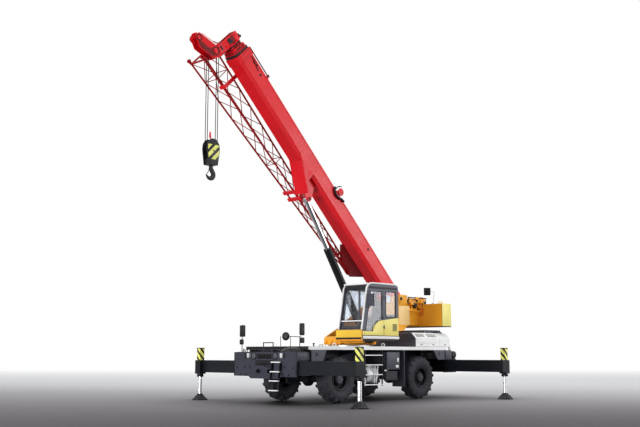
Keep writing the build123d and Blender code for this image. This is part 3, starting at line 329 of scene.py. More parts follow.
@cache
def wire_rope():
    """Greased wire rope: strands wound round it at a slant."""
    f = Finish("wire_rope")
    x, y, z = f.split()
    run = f.math("ADD", z, f.math("MULTIPLY", f.math("ADD", x, y), 0.6))
    lay = f.math("SINE", f.math("MULTIPLY", run, 420.0))
    tone = f.mix(f.spread(lay, 0, 1, -1, 1), (0.004, 0.004, 0.005, 1), (0.02, 0.02, 0.022, 1))
    f.set(Base_Color=tone, Normal=f.bump(lay, 0.5, 0.004), Roughness=f.spread(f.noise(20, 3), 0.35, 0.5))
    return f.set(Specular_IOR_Level=0.06)


def striped(name, weights, pitch, shift=40.0):
    """Slanting warning stripes, across the direction that the weights of X, Y and Z give."""
    f = Finish(name)
    run = 0.0
    for weight, axis in zip(weights, f.split()):
        run = f.math("ADD", f.math("MULTIPLY", axis, weight), run)
    share = f.math("FRACT", f.math("ADD", f.math("DIVIDE", run, pitch), shift))
    worn = f.mottle(9, 5, rgba(colours().warning, 0.9), rgba(colours().warning, 1.04))
    tone = f.mix(f.math("GREATER_THAN", share, 0.56), worn, rgba(colours().black))
    return f.set(Base_Color=tone, Roughness=f.spread(f.noise(4, 4), 0.28, 0.42), Specular_IOR_Level=0.2)


@cache
def stripes():
    return striped("warning_stripes", (-1, 1, 1), sizes().stripe)


@cache
def hook_stripes():
    return striped("hook_stripes", (1, 0, 1), sizes().stripe * 1.2, 40.27)


@cache
def tread_plate():
    """Dark chequered plate: two families of short raised bars."""
    f = Finish("tread_plate")
    fields = {"Vector": f.place, "Rotation": (0, 0, math.radians(45))}
    slanted = f.add("ShaderNodeMapping", fields).outputs[0]
    bars = f.add("ShaderNodeTexChecker", {"Vector": slanted, "Scale": 30.0}).outputs["Fac"]
    tone = f.mottle(4, 5, rgba(colours().chassis, 0.8), rgba(colours().chassis, 1.4))
    f.set(Base_Color=tone, Roughness=f.spread(f.noise(3, 3), 0.4, 0.55))
    return f.set(Normal=f.bump(bars, 0.5, 0.004))


@cache
def seat_cloth():
    """Dark woven seat cloth."""
    f = Finish("seat_cloth")
    weave = f.add("ShaderNodeTexVoronoi", {"Vector": f.place, "Scale": 260.0}).outputs["Distance"]
    tone = f.mottle(8, 3, (0.016, 0.017, 0.022, 1), (0.040, 0.042, 0.050, 1))
    f.set(Base_Color=tone, Normal=f.bump(weave, 0.4, 0.002), Roughness=f.spread(weave, 0.75, 0.9, 0, 1))
    return f.set(Sheen_Weight=0.3)


def pane(name, tint, rough):
    """Clear glass with a faint film of dust."""
    f = Finish(name)
    film = f.noise(3.0, 4, 0.6)
    f.set(Base_Color=f.mix(f.spread(film, 0, 1), rgba(tint, 0.92), rgba(tint, 1.0)))
    f.set(Roughness=f.spread(film, rough * 0.4, rough))
    return f.set(Transmission_Weight=1.0, IOR=1.45)


@cache
def cab_glass():
    return pane("cab_glass", (0.80, 0.84, 0.90), 0.04)


@cache
def mirror_glass():
    """Silvered glass."""
    f = Finish("mirror_glass")
    film = f.noise(6, 3)
    tone = f.mix(film, (0.80, 0.82, 0.84, 1), (0.88, 0.89, 0.9, 1))
    f.set(Base_Color=tone, Roughness=f.spread(film, 0.02, 0.06))
    return f.set(Metallic=1.0)


def lens(name, colour):
    """Ribbed coloured lens."""
    f = Finish(name)
    ribs = f.math("SINE", f.math("MULTIPLY", f.split()[2], 500.0))
    tone = f.mix(f.noise(20, 2), rgba(colour, 0.85), rgba(colour))
    f.set(Base_Color=tone, Normal=f.bump(ribs, 0.25, 0.002))
    return f.set(Roughness=f.spread(f.noise(8, 2), 0.08, 0.18), Coat_Weight=0.8)


@cache
def red_lens():
    return lens("red_lens", (0.55, 0.01, 0.012))


@cache
def dark_lens():
    return lens("dark_lens", (0.06, 0.065, 0.08))


@cache
def banded_boom():
    """Boom paint with the dark wear bands at the inner sections' mouths."""
    f = Finish("banded_boom_paint")
    x, _, z = f.split()
    out = f.math("ADD", f.math("MULTIPLY", x, REACH.x), f.math("MULTIPLY", z, REACH.z))
    bands = 0.0
    for start, end in MOUTH_BANDS:
        low, high = ((BOOM @ Vector((s, 0, 0))).dot(REACH) for s in (start, end))
        inside = f.math("MULTIPLY", f.math("GREATER_THAN", out, low), f.math("LESS_THAN", out, high))
        bands = f.math("ADD", inside, bands)
    gloss = f.mottle(0.9, 5, rgba(colours().boom, 0.92), rgba(colours().boom, 1.05))
    dark = f.mix(f.noise(7, 4), (0.012, 0.010, 0.014, 1), (0.035, 0.028, 0.036, 1))
    f.set(Base_Color=f.mix(bands, gloss, dark), Roughness=f.spread(f.noise(2.2, 5), 0.28, 0.42))
    return f.set(Specular_IOR_Level=0.2)


# ---------------------------------------------------------------- shape helpers
def circle(count, radius, turn=0.0):
    """Evenly spaced points round a circle, from a share of a step on."""
    for step in range(count):
        angle = math.tau * (step + turn) / count
        yield math.cos(angle) * radius, math.sin(angle) * radius


def round_edges(part, width, segments=2, edges=None):
    """Bevels the edges named, or all of them, where a width is given."""
    if width:
        bmesh.ops.bevel(
            part, geom=part.edges[:] if edges is None else edges, offset=width, offset_type="OFFSET",
            affect="EDGES", segments=segments, profile=0.5, material=-1, clamp_overlap=True,
        )


def turned(place, degrees, axis):
    """A place in the crane's frame, turned about one axis."""
    return Matrix.Translation(place) @ Matrix.Rotation(math.radians(degrees), 4, axis)


def turned_towards(axis):
    """The turn that brings Z to an axis."""
    return Vector(axis).to_track_quat("Z", "Y").to_matrix().to_4x4()


def rounded_path(points, bend):
    """The corners of a path, each replaced by a short arc."""
    points = [Vector(p) for p in points]
    if not bend:
        return points
    path = [points[0]]
    for before, corner, after in zip(points, points[1:], points[2:]):
        reach = min(bend, (before - corner).length / 2.2, (after - corner).length / 2.2)
        start = corner + (before - corner).normalized() * reach
        end = corner + (after - corner).normalized() * reach
        for step in range(5):
            t = step / 4
            path.append(start * (1 - t) ** 2 + corner * 2 * t * (1 - t) + end * t ** 2)
    return path + [points[-1]]


class Piece:
    """A mesh in the making, laid out in the crane's frame or in another such as the boom's."""

    def __init__(self, layout=None):
        self.mesh = bmesh.new()
        self.layout = layout

    def merge(self, part, place=None, material=0):
        """Adds a shape, turned into place, and frees it."""
        place = self.layout if place is None else place
        if place is not None:
            bmesh.ops.transform(part, matrix=place, verts=part.verts)
        for face in part.faces:
            face.material_index = material
        mesh = bpy.data.meshes.new("part")
        part.to_mesh(mesh)
        part.free()
        self.mesh.from_mesh(mesh)
        bpy.data.meshes.remove(mesh)

    def block(self, low, high, bevel=0.0, place=None):
        """A box between two corners, with rounded edges."""
        part = bmesh.new()
        low, high = Vector(low), Vector(high)
        bmesh.ops.create_cube(part, size=1.0)
        bmesh.ops.scale(part, vec=high - low, verts=part.verts)
        bmesh.ops.translate(part, vec=(low + high) / 2, verts=part.verts)
        round_edges(part, bevel)
        self.merge(part, place)

    def both(self, low, high, bevel=0.0):
        """The same box on both sides of the middle."""
        for way in (-1, 1):
            self.block((low[0], way * low[1], low[2]), (high[0], way * high[1], high[2]), bevel)

    def rod(self, start, end, radius, sides=16, bevel=0.0):
        """A round bar between two points."""
        part = bmesh.new()
        start, end = Vector(start), Vector(end)
        length = (end - start).length
        bmesh.ops.create_cone(
            part, cap_ends=True, segments=sides, radius1=radius, radius2=radius, depth=length,
        )
        rims = [e for e in part.edges if abs(abs(sum(v.co.z for v in e.verts)) - length) < 1e-5]
        round_edges(part, bevel, 2, rims)
        place = Matrix.Translation((start + end) / 2) @ turned_towards(end - start)
        bmesh.ops.transform(part, matrix=place, verts=part.verts)
        self.merge(part)

    def bolt(self, at, way, radius):
        """A hexagon head on a washer."""
        at, way = Vector(at), Vector(way).normalized()
        self.rod(at, at + way * radius * 0.25, radius * 1.45, 14)
        self.rod(at + way * radius * 0.25, at + way * radius * 0.95, radius, 6)

    def lathe(self, profile, centre, axis, steps=32, closed=False, material=0):
        """A shape turned about an axis: the profile gives (radius, distance along the axis)."""
        part = bmesh.new()
        corners = [part.verts.new((radius, 0, height)) for radius, height in profile]
        pairs = list(zip(corners, corners[1:])) + ([(corners[-1], corners[0])] if closed else [])
        edges = [part.edges.new(pair) for pair in pairs]
        bmesh.ops.spin(
            part, geom=corners + edges, axis=(0, 0, 1), cent=(0, 0, 0), dvec=(0, 0, 0),
            angle=math.tau, steps=steps, use_merge=True, use_duplicate=False,
        )
        bmesh.ops.remove_doubles(part, verts=part.verts, dist=1e-5)
        bmesh.ops.recalc_face_normals(part, faces=part.faces)
        place = Matrix.Translation(Vector(centre)) @ turned_towards(axis)
        bmesh.ops.transform(part, matrix=place, verts=part.verts)
        self.merge(part, material=material)

    def slab(self, outline, low, high, axis="Y", bevel=0.0):
        """A flat outline drawn out along an axis. Its pairs are the two other axes in order."""
        orders = {"X": (1, 2, 0), "Y": (0, 2, 1), "Z": (0, 1, 2)}[axis]

        def put(*values):
            point = [0.0] * 3
            for index, value in zip(orders, values):
                point[index] = value
            return Vector(point)

        part = bmesh.new()
        face = part.faces.new([part.verts.new(put(a, b, low)) for a, b in outline])
        made = bmesh.ops.extrude_face_region(part, geom=[face])["geom"]
        moved = [v for v in made if isinstance(v, bmesh.types.BMVert)]
        bmesh.ops.translate(part, vec=put(0, 0, high - low), verts=moved)
        bmesh.ops.recalc_face_normals(part, faces=part.faces)
        round_edges(part, bevel)
        self.merge(part)

    def sides(self, outline, low, high, bevel=0.0):
        """The same plate on both sides, between two distances from the middle."""
        for way in (-1, 1):
            self.slab(outline, way * low, way * high, "Y", bevel)

    def tube(self, points, radius, bend=0.0, resolution=2):
        """A bent tube through points."""
        path = rounded_path(points, bend)
        curve = bpy.data.curves.new("tube", "CURVE")
        curve.dimensions = "3D"
        curve.bevel_depth = radius
        curve.bevel_resolution = resolution
        curve.use_fill_caps = True
        spline = curve.splines.new("POLY")
        spline.points.add(len(path) - 1)
        for point, at in zip(spline.points, path):
            point.co = (*at, 1.0)
        holder = bpy.data.objects.new("tube", curve)
        mesh = bpy.data.meshes.new_from_object(holder)
        part = bmesh.new()
        part.from_mesh(mesh)
        bmesh.ops.remove_doubles(part, verts=part.verts, dist=1e-5)
        bmesh.ops.recalc_face_normals(part, faces=part.faces)
        self.merge(part)
        bpy.data.objects.remove(holder)
        bpy.data.curves.remove(curve)
        bpy.data.meshes.remove(mesh)

    def finish(self, name, body, slot, *finishes, smooth=35.0):
        """Makes the object, gives it its finishes and lets it ride on its body."""
        mesh = bpy.data.meshes.new(name)
        self.mesh.to_mesh(mesh)
        self.mesh.free()
        for material in finishes:
            mesh.materials.append(material)
        mesh.polygons.foreach_set("use_smooth", [True] * len(mesh.polygons))
        mesh.set_sharp_from_angle(angle=math.radians(smooth))
        item = bpy.data.objects.new(name, mesh)
        bpy.context.scene.collection.objects.link(item)
        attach(item, body)
        return item


# ---------------------------------------------------------------- stage
CAMERA, LENS, PITCH = (23.735, 21.385, 1.595), 51.14, math.radians(8.709)
VIEW = Vector((-0.7204, -0.6936, 0))  # the way the camera faces, level
# Each row: name, place, target, width, height and power.
LAMPS = (
    ("key", (-13, 23, 9), (0, 0, 4.5), 26, 14, 3900),
    ("top", (2, 4, 24), (0, 0, 3), 20, 20, 2200),
    ("front", (26, 1, 2.6), (1, 0, 5), 12, 5, 3900),
)


def aim(item, target):
    way = Vector(target) - item.location
    item.rotation_euler = way.to_track_quat("-Z", "Y").to_euler()


def lamp(name, place, target, width, height, power):
    data = bpy.data.lights.new(name, "AREA")
    data.shape = "RECTANGLE"
    data.size, data.size_y, data.energy = width, height, power
    item = bpy.data.objects.new(name, data)
    item.location = place
    bpy.context.scene.collection.objects.link(item)
    aim(item, target)
    item.visible_camera = False


def floor_material():
    """A pale floor, dark before the crane and with painted shade from ambient occlusion under and round it,
    that fades to white far away.
    """
    f = Finish("floor")
    x, y, _ = f.split()
    depth = f.math("ADD", f.math("MULTIPLY", x, -VIEW.x), f.math("MULTIPLY", y, -VIEW.y))
    fields = {"Value": depth, "From Min": -22.0, "From Max": 13.0, "To Min": 0.92, "To Max": 0.055}
    tone = f.add("ShaderNodeMapRange", fields, interpolation_type="SMOOTHSTEP").outputs["Result"]
    # Painted shade: ambient occlusion darkens the floor's colour under and round the crane.
    floor_painted_shade = f.add("ShaderNodeAmbientOcclusion", {"Distance": 3.2}).outputs["AO"]
    tone = f.math("MULTIPLY", tone, f.math("POWER", floor_painted_shade, 2.6))
    tone = f.math("MAXIMUM", tone, f.spread(depth, 0.0, 0.92, 27.0, 60.0))
    warm = f.math("POWER", tone, 1.03)
    shade = f.add("ShaderNodeCombineColor", {0: tone, 1: warm, 2: tone}).outputs[0]
    f.set(Base_Color=shade, Roughness=0.7, Specular_IOR_Level=0.2)
    white = f.add("ShaderNodeEmission", {"Color": (1, 1, 1, 1), "Strength": 1.0}).outputs[0]
    behind, ahead = f.spread(depth, 1.0, 0.0, -55.0, -6.0), f.spread(depth, 0.0, 1.0, 27.0, 75.0)
    share = f.math("MULTIPLY", f.math("MAXIMUM", behind, ahead), f.seen())
    mixed = f.add("ShaderNodeMixShader", {0: share, 1: f.shader.outputs[0], 2: white})
    f.give(f.tree.nodes["Material Output"].inputs["Surface"], mixed.outputs[0])
    return f.material


def make_stage():
    scene = bpy.context.scene
    scene.view_settings.view_transform = "Standard"
    ground = bmesh.new()
    bmesh.ops.create_circle(ground, cap_ends=True, segments=64, radius=600)
    bmesh.ops.translate(ground, vec=(0, 0, -0.002), verts=ground.verts)
    mesh = bpy.data.meshes.new("floor")
    ground.to_mesh(mesh)
    ground.free()
    mesh.materials.append(floor_material())
    item = bpy.data.objects.new("floor", mesh)
    scene.collection.objects.link(item)

    world = bpy.data.worlds.new("studio")
    scene.world = world
    world.use_nodes = True
    sky = Nodes(world.node_tree)
    soft = sky.tree.nodes["Background"]
    soft.inputs["Color"].default_value = (0.92, 0.95, 1.0, 1)
    soft.inputs["Strength"].default_value = 0.42
    white = sky.add("ShaderNodeBackground", {"Color": (1, 1, 1, 1)})
    mixed = sky.add("ShaderNodeMixShader", {0: sky.seen(), 1: soft.outputs[0], 2: white.outputs[0]})
    sky.give(sky.tree.nodes["World Output"].inputs["Surface"], mixed.outputs[0])

    for row in LAMPS:
        lamp(*row)

    data = bpy.data.cameras.new("camera")
    data.sensor_width = 36
    data.lens = LENS
    data.clip_end = 2000
    camera = bpy.data.objects.new("camera", data)
    camera.location = CAMERA
    scene.collection.objects.link(camera)
    flat = VIEW.normalized() * math.cos(PITCH)
    aim(camera, camera.location + Vector((flat.x, flat.y, math.sin(PITCH))))
    scene.camera = camera


# ---------------------------------------------------------------- finishes of the solids
# Each row: the start of the nodes' names, and their finish.
NODE_FINISHES = (
    ("chassis", chassis_paint),
    ("front_bumper", chassis_paint),
    ("axle_", beam_paint),
    ("knuckle_", beam_paint),
    ("outrigger_casing", beam_paint),
    ("outrigger_beam", beam_paint),
    ("outrigger_jack", chrome),
    ("slewing_ring", machined_steel),
    ("steps_and_rails", beam_paint),
    ("side_skirts", skirt_paint),
    ("lockers", skirt_paint),
    ("deck", deck_paint),
    ("engine_hood", deck_paint),
    ("muffler_cover", skirt_paint),
    ("engine_block", cast_black),
    ("lamps", dark_lens),
    ("road_mirrors", black_plastic),
    ("rim_", rim_paint),
    ("tyre_", tyre_rubber),
    ("turntable", body_paint),
    ("counterweight", body_paint),
    ("winches", body_paint),
    ("cab_shell", cab_paint),
    ("cab_door_glass", cab_glass),
    ("cab_door", cab_paint),
    ("cab_glass", cab_glass),
    ("cab_interior", seat_cloth),
    ("boom_base", boom_paint),
    ("boom_section", banded_boom),
    ("boom_head", banded_boom),
    ("lattice_jib", boom_paint),
    ("jib_brackets", boom_paint),
    ("lift_barrel", black_paint),
    ("lift_rod", chrome),
    ("hoist_ropes", wire_rope),
    ("hook", cast_black),
)


def paint_nodes():
    for name, node in frame["nodes"].items():
        make = next(make for start, make in NODE_FINISHES if name.startswith(start))
        material = make()
        if not node.material_slots:
            node.data.materials.append(material)
        for slot in node.material_slots:
            slot.material = material


# ---------------------------------------------------------------- wheels
def lug(piece, way, step, radius, half, height, count):
    """One slanting lug from the tread's middle out over the shoulder."""
    shape = bmesh.new()
    bmesh.ops.create_cube(shape, size=1.0)
    bmesh.ops.scale(shape, vec=(height, half * 1.06, 0.085), verts=shape.verts)
    bmesh.ops.translate(shape, vec=(0, way * half * 0.5, 0), verts=shape.verts)
    for vert in shape.verts:
        share = abs(vert.co.y) / half
        vert.co.z += 0.075 * share
        if share > 0.8:
            vert.co.x -= 0.045 if vert.co.x > 0 else 0.12
        if vert.co.x > 0:
            vert.co.z *= 0.94
    round_edges(shape, 0.006, 1)
    bmesh.ops.translate(shape, vec=(radius - height / 2, 0, 0), verts=shape.verts)
    turn = math.tau * (step + (0.5 if way > 0 else 0)) / count
    piece.merge(shape, Matrix.Rotation(turn, 4, "Y"))


def make_tyre(end, side):
    """A tyre with walls, three raised rings on each and slanting lugs on its tread."""
    centre = Vector(JOINTS[f"roll_{end}_{side}"]["pos_m"])
    low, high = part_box(f"tyre_{end}_{side}")
    radius, half = (high.z - low.z) / 2, (high.y - low.y) / 2
    height = sizes().lug_height
    body = radius - height
    wall = (
        (0.312, 0.175), (0.352, 0.195), (0.372, 0.212), (0.43, 0.236), (0.52, half), (0.60, half - 0.008),
        (body - 0.05, half - 0.035), (body - 0.012, half - 0.075), (body, half - 0.13),
    )
    piece = Piece()
    profile = (*((r, -y) for r, y in wall), (body + 0.006, 0), *wall[::-1])
    piece.lathe(profile, (0, 0, 0), (0, 1, 0), 72, closed=True)
    for ring, depth in ((0.405, 0.2275), (0.475, 0.2425), (0.565, 0.247)):
        for way in (-1, 1):
            foot, top = way * (depth - 0.006), way * (depth + 0.003)
            rib = ((ring - 0.006, foot), (ring, top), (ring + 0.006, foot))
            piece.lathe(rib, (0, 0, 0), (0, 1, 0), 72, closed=True)
    for step in range(sizes().lugs):
        for way in (-1, 1):
            lug(piece, way, step, radius, half - 0.018, height + 0.03, sizes().lugs)
    bmesh.ops.translate(piece.mesh, vec=centre, verts=piece.mesh.verts)
    item = piece.finish(f"lugged_tyre_{end}_{side}", f"wheel_{end}_{side}", "tyre", tyre_rubber())
    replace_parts(item, f"tyre_{end}_{side}")


def make_wheel_trim(end, side):
    """Wheel nuts, the lock ring, the hub's cover bolts and the valve."""
    way = SIDES[side]
    centre = Vector(JOINTS[f"roll_{end}_{side}"]["pos_m"])
    piece = Piece()
    out = Vector((0, way, 0))
    rings = (
        (20, 0.235, 0.070, 0.016, 0), (12, 0.128, 0.199, 0.010, 0.5),
        (10, 0.165, 0.180, 0.009, 0), (3, 0.085, 0.207, 0.012, 0),
    )
    for count, radius, depth, size, turn in rings:
        for x, z in circle(count, radius, turn):
            piece.bolt(centre + Vector((x, way * depth, z)), out, size)
    lock = ((0.338, 0.214), (0.349, 0.2215), (0.338, 0.2245), (0.322, 0.2165))
    cap = ((0.0, 0.2055), (0.05, 0.2055), (0.055, 0.212), (0.045, 0.222), (0.0, 0.225))
    hub = ((0.062, 0.201), (0.118, 0.201), (0.114, 0.206), (0.062, 0.206))
    piece.lathe(lock, centre, out, 48, closed=True)
    piece.lathe(cap, centre, out, 24, material=1)
    piece.lathe(hub, centre, out, 32, closed=True, material=1)
    piece.rod(centre + Vector((0, way * 0.10, 0.27)), centre + Vector((0, way * 0.15, 0.285)), 0.008, 10)
    piece.finish(f"wheel_trim_{end}_{side}", f"wheel_{end}_{side}", "rim_dark", rim_paint(), skirt_paint())


# ---------------------------------------------------------------- boom
def make_boom_trim():
    """The reel, tubes, rollers, rest pads, eye bosses and hoses on the base section, and a dark plate of
    painted shade under it.
    """
    eye_s, eye_n = LIFT_EYE
    reel_n, roller_n = ROOF + 0.09, ROOF + 0.085
    piece = Piece(BOOM)
    for s in (9.55, 10.70):
        piece.block((s - 0.05, 0.20, ROOF), (s + 0.05, 0.28, ROOF + 0.06), 0.006)
    for y in (-HALF, HALF):
        piece.block((REEL - 0.10, y - 0.02, ROOF - 0.13), (REEL + 0.10, y + 0.02, ROOF + 0.13), 0.01)
    reel = (
        (-0.30, 0.335, 0.082, 24, 0.01), (0.335, 0.365, 0.135, 32, 0.012), (0.365, 0.380, 0.060, 20, 0.006),
    )
    for start, end, *round_bar in reel:
        piece.rod((REEL, start, reel_n), (REEL, end, reel_n), *round_bar)
    for s in (1.2, 8.9):
        piece.block((s - 0.05, -0.26, ROOF), (s + 0.05, 0.26, ROOF + 0.022), 0.005)
    foot = ((-0.33, -0.16), (0.55, -0.30), (0.75, -0.30), (0.75, 0.06), (0.3, 0.14), (-0.33, 0.14))
    piece.sides(foot, HALF, HALF + 0.012, 0.003)
    piece.sides(((6.06, -0.34), (6.66, -0.40), (5.80, -0.88), (6.04, -0.68)), HALF, HALF + 0.008, 0.003)
    for way in (-1, 1):
        seam = way * (HALF + 0.004)
        piece.tube(((0.9, seam, 0.135), (10.45, seam, 0.135)), 0.006)
        for s in (4.82, 7.02):
            piece.block((s - 0.012, way * 0.18, -0.441), (s + 0.012, way * 0.24, -0.43), 0.002)
        piece.rod((eye_s, way * 0.160, eye_n), (eye_s, way * 0.172, eye_n), 0.076, 24, 0.004)
        for s in (10.52, 10.68):
            for n in (-0.24, -0.12, 0.0, 0.10):
                piece.bolt((s, way * 0.322, n), (0, way, 0), 0.011)
    piece.finish("boom_base_trim", "boom_base", "boom_red", boom_paint())

    dark = Piece(BOOM)
    hose = (
        (0.31, -0.01), (0.25, -0.10), (0.16, -0.15), (0.0, -0.17),
        (-0.12, -0.12), (-0.20, -0.05), (-0.34, -0.03),
    )
    dark.tube([(REEL + s, 0.345, ROOF + n) for s, n in hose], 0.040, 0.05, resolution=3)
    whip = ((0.20, 0.30, 0.02), (0.22, 0.32, 0.14), (0.10, 0.33, 0.26))
    dark.tube([(REEL + s, y, ROOF + n) for s, y, n in whip], 0.018, 0.05)
    dark.tube(((9.95, 0.31, 0.0), (10.20, 0.315, 0.07), (10.45, 0.31, 0.09)), 0.012, 0.05)
    dark.tube(((10.08, 0.31, 0.10), (10.30, 0.315, 0.02)), 0.010)
    for s in (2.38, 9.80):
        dark.rod((s, 0.296, 0.0), (s, 0.306, 0.0), 0.045, 24)
    line = [(s, -0.312, n) for s, n in ((0.35, 0.05), (3.0, 0.05), (3.2, 0.0), (9.9, 0.0))]
    dark.tube(line, sizes().hose, 0.08)
    for s in (1.5, 4.0, 6.5, 9.0):
        dark.block((s - 0.03, -0.33, -0.03), (s + 0.03, -0.298, 0.07), 0.004)
    for s in (10.55, 10.70):
        dark.block((s, -0.324, -0.32), (s + 0.008, 0.324, 0.212), 0.002)
    dark.finish("boom_base_black_trim", "boom_base", "cylinder_black", black_paint())

    rail = Piece(BOOM)
    route = ((9.55, ROOF), (9.58, roller_n), (10.72, roller_n), (10.72, ROOF))
    rail.tube([(s, 0.27, n) for s, n in route], 0.020, 0.05)
    rail.rod((9.58, 0.24, roller_n), (9.58, 0.31, roller_n), 0.045, 16, 0.006)
    # This dark red plate under the boom is painted shade: a dark sheet where the underside lies in shadow.
    plate = ((1.50, -0.20), (1.56, -0.84), (2.20, -0.90), (3.05, -0.34), (3.05, -0.20))
    rail.slab(plate, -0.452, -0.438, "Z", 0.003)
    rail.finish("boom_dark_red_trim", "boom_base", "boom_red", dark_red())

    pins = Piece(BOOM)
    for way in (-1, 1):
        pins.rod((eye_s, way * 0.171, eye_n), (eye_s, way * 0.182, eye_n), 0.052, 20, 0.004)
    pins.finish("boom_base_pins", "boom_base", "cylinder_black", cast_black())


def make_collars():
    """The bolted wear-pad frames at the mouths of the inner sections."""
    for level, body in ((1, "boom_section_2"), (2, "boom_section_3"), (3, "boom_head")):
        step = 0.028 * level
        half, roof, keel = HALF - step + 0.022, ROOF - step + 0.022, KEEL + step - 0.022
        start = 10.75 + 0.117 * (level - 1)
        piece = Piece(BOOM)
        for way in (-1, 1):
            for n in (-0.22, -0.10, 0.04):
                low = (start + 0.02, way * half, n - 0.035)
                piece.block(low, (start + 0.10, way * (half + 0.007), n + 0.035), 0.002)
                piece.bolt((start + 0.06, way * (half + 0.006), n), (0, way, 0), 0.011)
            for y in (-0.13, 0.0, 0.13):
                piece.bolt((start + 0.06, y, roof if way > 0 else keel), (0, 0, way), 0.012)
        piece.finish(f"wear_pad_plates_{level + 1}", body, "boom_red", dark_red())


def make_head_trim():
    """The boom head's sheave caps and guards, box, lamp, edge tubes and the cable on top, and dark red rings
    and plates of painted shade on its cheeks.
    """
    piece = Piece(BOOM)
    piece.sides(((11.12, 0.20), (11.38, 0.20), (11.38, 0.10), (11.12, 0.06)), CHEEK, 0.160, 0.003)
    piece.sides(((11.14, -0.55), (11.34, -0.60), (11.44, -0.76), (11.16, -0.80)), CHEEK, 0.162, 0.003)
    edge = ((11.14, -0.50), (11.36, -0.55), (11.50, -0.78), (12.04, -1.05))
    bolts = (
        (11.16, 0.17), (11.34, 0.17), (11.16, -0.02), (11.34, -0.02),
        (11.2, -0.45), (11.34, -0.45), (11.75, -1.15), (11.6, -0.97),
    )
    for way in (-1, 1):
        for at, radius in ((MAIN_SHEAVE, 0.075), (NOSE_SHEAVE, 0.065)):
            spot = at + Vector((0, way * CHEEK, 0))
            piece.rod(spot, spot + Vector((0, way * 0.022, 0)), radius, 24, 0.006)
            piece.rod(spot, spot + Vector((0, way * 0.034, 0)), radius * 0.5, 6)
        piece.tube([(s, way * 0.152, n) for s, n in edge], 0.010, 0.05)
        for s, n in bolts:
            piece.bolt((s, way * CHEEK, n), (0, way, 0), 0.012)
    for at, radius, angles in ((MAIN_SHEAVE, 0.236, (20, 80, 225)), (NOSE_SHEAVE, 0.158, (-60, 20, 190))):
        for turn in map(math.radians, angles):
            spot = at + Vector((math.cos(turn) * radius, 0, math.sin(turn) * radius))
            piece.rod(spot + Vector((0, -0.121, 0)), spot + Vector((0, 0.121, 0)), 0.012, 12)
    piece.block((11.12, -0.118, 0.205), (11.38, 0.118, 0.235), 0.006)
    piece.finish("boom_head_trim", "boom_head", "boom_red", boom_paint())

    dark = Piece(BOOM)
    dark.block((11.13, -0.12, 0.235), (11.27, 0.12, 0.335), 0.04)
    dark.rod((11.16, -0.14, 0.290), (11.16, 0.15, 0.290), 0.045, 20, 0.008)
    cable = (
        (11.28, 0.05, 0.28), (11.40, 0.06, 0.16), (11.44, 0.10, -0.30),
        (11.43, 0.10, -0.62), (11.62, 0.10, -0.80),
    )
    dark.tube(cable, 0.012, 0.08)
    dark.block((11.17, CHEEK, -0.30), (11.35, 0.163, -0.14), 0.004)
    dark.block((11.20, CHEEK, -0.72), (11.36, 0.166, -0.64), 0.004)
    dark.finish("boom_head_black_trim", "boom_head", "cylinder_black", black_paint())

    # Painted shade: dark red rings round the sheaves and plates along the cheeks stand for the shadowed
    # sheaves and underside of the head.
    shades = Piece(BOOM)
    for way in (-1, 1):
        for at, outer, inner in ((MAIN_SHEAVE, 0.150, 0.100), (NOSE_SHEAVE, 0.120, 0.080)):
            ring = ((inner, 0.0), (outer, 0.0), (outer, 0.010), (inner, 0.010))
            shades.lathe(ring, at + Vector((0, way * CHEEK, 0)), (0, way, 0), 36, closed=True)
    lower = ((11.20, -1.14), (11.76, -1.39), (12.02, -1.30), (11.86, -1.22), (11.62, -1.14), (11.45, -1.02))
    shades.sides(lower, CHEEK, 0.157, 0.002)
    shades.sides(((11.13, 0.0), (11.37, 0.03), (11.37, -0.10), (11.13, -0.16)), CHEEK, 0.155, 0.002)
    shades.finish("boom_head_dark_plates", "boom_head", "boom_red", dark_red())


